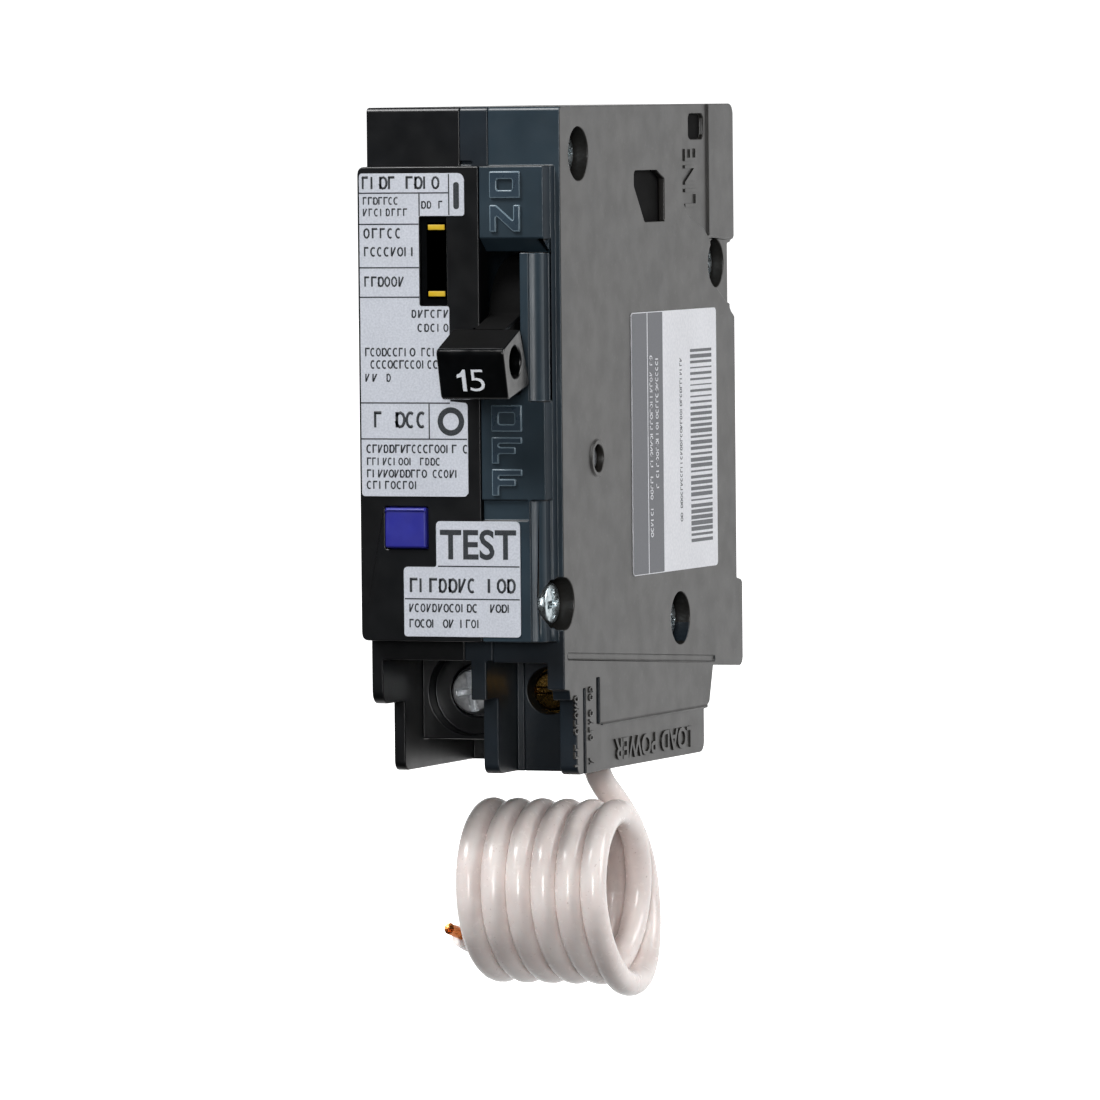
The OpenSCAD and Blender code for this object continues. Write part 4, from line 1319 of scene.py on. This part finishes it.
# ---------- front controls ----------
@dataclass
class FrontControls:
    """The lamp window with its two lamps, and the blue push-to-test button."""

    edge: float = 0.12
    lamps: Point = (26.6, 18.5)
    lens_share: float = 0.72

    def build(self) -> None:
        """Makes the window, the lamps and the button."""
        softened("led_window", "lamp_window", self.edge, Stock.window)
        lenses = softened("status_leds", "lamp_lenses", 0.1, Stock.amber)
        for vertex in lenses.data.vertices:
            middle = min(self.lamps, key=lambda z: abs(vertex.co.z / MM - z)) * MM
            vertex.co.z = middle + (vertex.co.z - middle) * self.lens_share
        softened("test_button", "push_to_test_button", 0.3, Stock.button, 3)
        dress_node("light_pipes", Stock.pipe)
        dress_node("test_spring", Stock.brass)


@dataclass
class SwitchHandle:
    """The black handle, shown off, with the rating printed on its tip."""

    pivot: Point = (-53.7, 15.0)
    off_angle: float = 18.5
    tip: Point = (-19.9, -2.7)
    tip_angle: float = -3.06
    edge: float = 0.3
    facing_up: float = 0.85
    hub: float = 9.2
    digit_low: float = -0.02
    digit_high: float = 0.06

    def on_tip(self, across: float, up: float, out: float) -> Vector:
        """The place of a point that is given on the tip's face."""
        spot = Matrix.Rotation(math.radians(self.tip_angle), 3, "X") @ Vector((across, -out, up))
        spot += Vector((0, *self.tip))
        spot = Matrix.Rotation(math.radians(self.off_angle), 3, "X") @ spot
        return (spot + Vector((0, *self.pivot))) * MM

    def build(self) -> None:
        """Makes the handle, its digits and its pin."""
        handle = softened("handle", "switch_handle_moulding", self.edge, Stock.handle, 3)
        pivot = Vector(self.pivot) * MM
        # The top faces and the hub get painted shade, a dull black copy that hides the reflections they would
        # catch.
        second_finish(handle, Stock.handle_painted_shade, lambda face: face.normal.z > self.facing_up
                      or (face.center.yz - pivot).length < self.hub * MM)
        one = Slabs(self.on_tip)
        one.add([(4.4, 0.85), (4.9, 0.85), (4.9, 3.55), (4.55, 3.55), (4.25, 3.15), (3.75, 2.9),
                 (3.75, 2.5), (4.4, 2.68)], self.digit_low, self.digit_high)
        fit_piece(one.finish("digit_one"), Stock.white_ink, "handle_digits", replace=True)
        five = Lettering("5", 5.4, 7.3, 0.85, 3.55, self.digit_low, self.digit_high, weight=-0.01)
        fit_piece(five.piece("digit_five", self.on_tip), Stock.white_ink, "handle_digits", replace=True)
        dress_node("handle_pin", Stock.steel)


# ---------- screws and terminals ----------
@dataclass
class ScrewHead:
    """A turned screw head with a cross recess, as rings of points round its axis."""

    radius: float
    tall: float
    arm: float
    slot: float
    half: float
    deep: float
    shank: float
    reach: float
    rings: int = 30
    around: int = 96
    crown: float = 0.12
    rim: float = 0.86
    rim_drop: float = 0.35
    slope: float = 0.14
    spread: float = 0.85
    point_tall: float = 0.6
    point_share: float = 0.6
    crease: float = 40.0

    def height(self, across: float, along: float) -> float:
        """How high the head stands at a point, from its foot."""
        span = math.hypot(across, along) / self.radius
        dome = self.tall * (1 - self.crown * span ** 2)
        if span > self.rim:
            dome -= ((span - self.rim) / (1 - self.rim)) ** 2 * self.rim_drop * self.tall
        bars = (min(self.half - abs(across), self.slot - abs(along)),
                min(self.half - abs(along), self.arm - abs(across)))
        inside = max(bars) / self.slope
        return dome - self.deep * min(max(inside + 0.5, 0.0), 1.0)

    def mesh(self, name: str, turn: float = 0.0) -> Mesh:
        """The head and shank as a mesh whose axis is +Z, with the foot at zero.

        Args:
            name: the mesh's name.
            turn: how far the recess is turned, in degrees.
        Returns:
            The mesh, in metres.
        """
        shape = bmesh.new()
        back = Matrix.Rotation(-math.radians(turn), 2)
        rounds = []
        for ring in range(1, self.rings + 1):
            points = circle(0, 0, self.radius * (ring / self.rings) ** self.spread, self.around)
            rounds.append([(*p, self.height(*(back @ Vector(p)))) for p in points])
        for radius, z in ((self.radius, 0.0), (self.shank, 0.0), (self.shank, self.point_tall - self.reach),
                          (self.shank * self.point_share, -self.reach)):
            rounds.append([(*p, z) for p in circle(0, 0, radius, self.around)])
        loops = [[shape.verts.new(Vector(p) * MM) for p in points] for points in rounds]
        centre = shape.verts.new((0, 0, self.height(0, 0) * MM))
        for i in range(self.around):
            j = (i + 1) % self.around
            shape.faces.new((centre, loops[0][i], loops[0][j]))
            for inner, outer in zip(loops, loops[1:]):
                shape.faces.new((inner[i], outer[i], outer[j], inner[j]))
        shape.faces.new(list(reversed(loops[-1])))
        bmesh.ops.recalc_face_normals(shape, faces=shape.faces)
        mesh = mesh_from(shape, name)
        mesh.shade_smooth()
        mesh.set_sharp_from_angle(angle=math.radians(self.crease))
        return mesh


@dataclass
class CaseScrews:
    """Four zinc-plated pan-head screws deep in their seats."""

    foot: float = 9.6
    seats: tuple[Point, ...] = ((-54.3, 35.4), (-6.3, 21.1), (-60.2, -19.3), (-20.4, -23.1))
    turns: tuple[float, ...] = (12.0, 40.0, 5.0, 70.0)

    def build(self) -> None:
        """Puts one head, turned a little differently each time, in every seat."""
        head = ScrewHead(radius=2.7, tall=1.65, arm=1.75, slot=1.75, half=0.36, deep=0.75, shank=1.45,
                         reach=18.0)
        seats = {f"Seat_{i + 1}": Vector((self.foot, y, z)) * MM for i, (y, z) in enumerate(self.seats)}
        turns = {f"Turn_{i + 1}": math.radians(a) for i, a in enumerate(self.turns)}
        growth = GrowthTree("screws_in_seats", **seats, **turns)
        seated = []
        for i in range(len(self.seats)):
            turned = growth.add("GeometryNodeTransform",
                                {"Geometry": growth.given.outputs[0],
                                 "Rotation": growth.vector(z=growth.size(f"Turn_{i + 1}"))})
            seated.append(growth.add("GeometryNodeTransform",
                                     {"Rotation": (0.0, math.pi / 2, 0.0), "Geometry": turned.outputs[0],
                                      "Translation": growth.size(f"Seat_{i + 1}")}).outputs[0])
        start = new_object("case_screw_set", head.mesh("case_screw_head"))
        piece = growth.grow(growth.gather(seated), "case_screw_set", Stock.dark_zinc, start)
        fit_piece(piece, Stock.dark_zinc, "case_screws", replace=True)


@dataclass
class Terminals:
    """The load and neutral lugs with their screws."""

    def screw(self, name: str, node: str, head: ScrewHead, foot: Point3, turn: float,
              finish: Finish) -> None:
        """Seats one terminal screw whose head faces the front.

        Args:
            name: the piece's name.
            node: the CAD node that it replaces.
            head: its sizes.
            foot: the middle of the head's foot, in millimetres.
            turn: how far the recess is turned, in degrees.
            finish: what it is made of.
        """
        mesh = head.mesh(name, turn)
        mesh.transform(Matrix.Translation(Vector(foot) * MM) @ Matrix.Rotation(math.pi / 2, 4, "X"))
        fit_piece(new_object(name, mesh), finish, node, replace=True)

    def build(self) -> None:
        """Makes the lugs, straps and screws."""
        softened("load_lug", "load_lug_block", 0.25, Stock.lug_tin)
        softened("neutral_lug", "neutral_lug_block", 0.25, Stock.brass)
        self.screw("load_clamp_screw_head", "load_screw",
                   ScrewHead(radius=2.9, tall=2.4, arm=1.9, slot=2.45, half=0.42, deep=1.0, shank=2.3,
                             reach=5.2), (-5, -44.6, -31), 8.0, Stock.zinc)
        # The neutral screw's brass is darkened with painted shade.
        self.screw("neutral_clamp_screw_head", "neutral_screw",
                   ScrewHead(radius=2.5, tall=1.8, arm=0.0, slot=2.2, half=0.36, deep=0.7, shank=1.6,
                             reach=1.8), (6.6, -47.8, -30.6), 90.0, Stock.brass_painted_shade)
        for node, finish in (("load_strap", Stock.copper), ("neutral_strap", Stock.copper),
                             ("line_strap", Stock.copper), ("line_jaw", Stock.copper),
                             ("jaw_spring", Stock.steel)):
            softened(node, node + "_plate", 0.08, finish)


@dataclass
class Mechanism:
    """The moving parts and the arc chamber."""

    finishes: tuple[tuple[str, Finish], ...] = (
        ("contact_arm", Stock.copper), ("moving_contact", Stock.silver), ("fixed_contact", Stock.silver),
        ("arm_spring", Stock.steel), ("arm_pin", Stock.steel), ("cradle", Stock.steel),
        ("cradle_pin", Stock.steel),
        ("arc_plates", Stock.steel), ("arc_frame", Stock.fibre), ("bimetal", Stock.bimetal),
        ("magnet_yoke", Stock.steel), ("armature", Stock.steel), ("flex_braid", Stock.braid))

    def build(self) -> None:
        """Gives every part of the mechanism its metal or fibre."""
        for node, finish in self.finishes:
            dress_node(node, finish)


@dataclass
class Electronics:
    """The board, the wound sensor, the trip solenoid and the parts on the board."""

    finishes: tuple[tuple[str, Finish], ...] = (
        ("circuit_board", Stock.board), ("current_sensor", Stock.ferrite), ("solenoid_frame", Stock.steel),
        ("solenoid_coil", Stock.enamel), ("plunger", Stock.zinc), ("capacitors", Stock.package),
        ("varistor", Stock.dipped), ("chips", Stock.package))

    def build(self) -> None:
        """Gives every electronic part its finish."""
        for node, finish in self.finishes:
            dress_node(node, finish)


def main() -> None:
    """Builds the camera and the cord first, then every sub-assembly and the studio."""
    logging.basicConfig(level=logging.INFO, format="%(name)s: %(message)s")
    ViewingCamera().place()
    Pigtail().build()
    for assembly in (Casing(), RatingLabel(), TestLabel(), SideLabel(), FrontControls(), SwitchHandle(),
                     CaseScrews(), Terminals(), Mechanism(), Electronics(), Studio()):
        LOG.info("building %s", type(assembly).__name__)
        assembly.build()


if __name__ == "__main__":
    main()
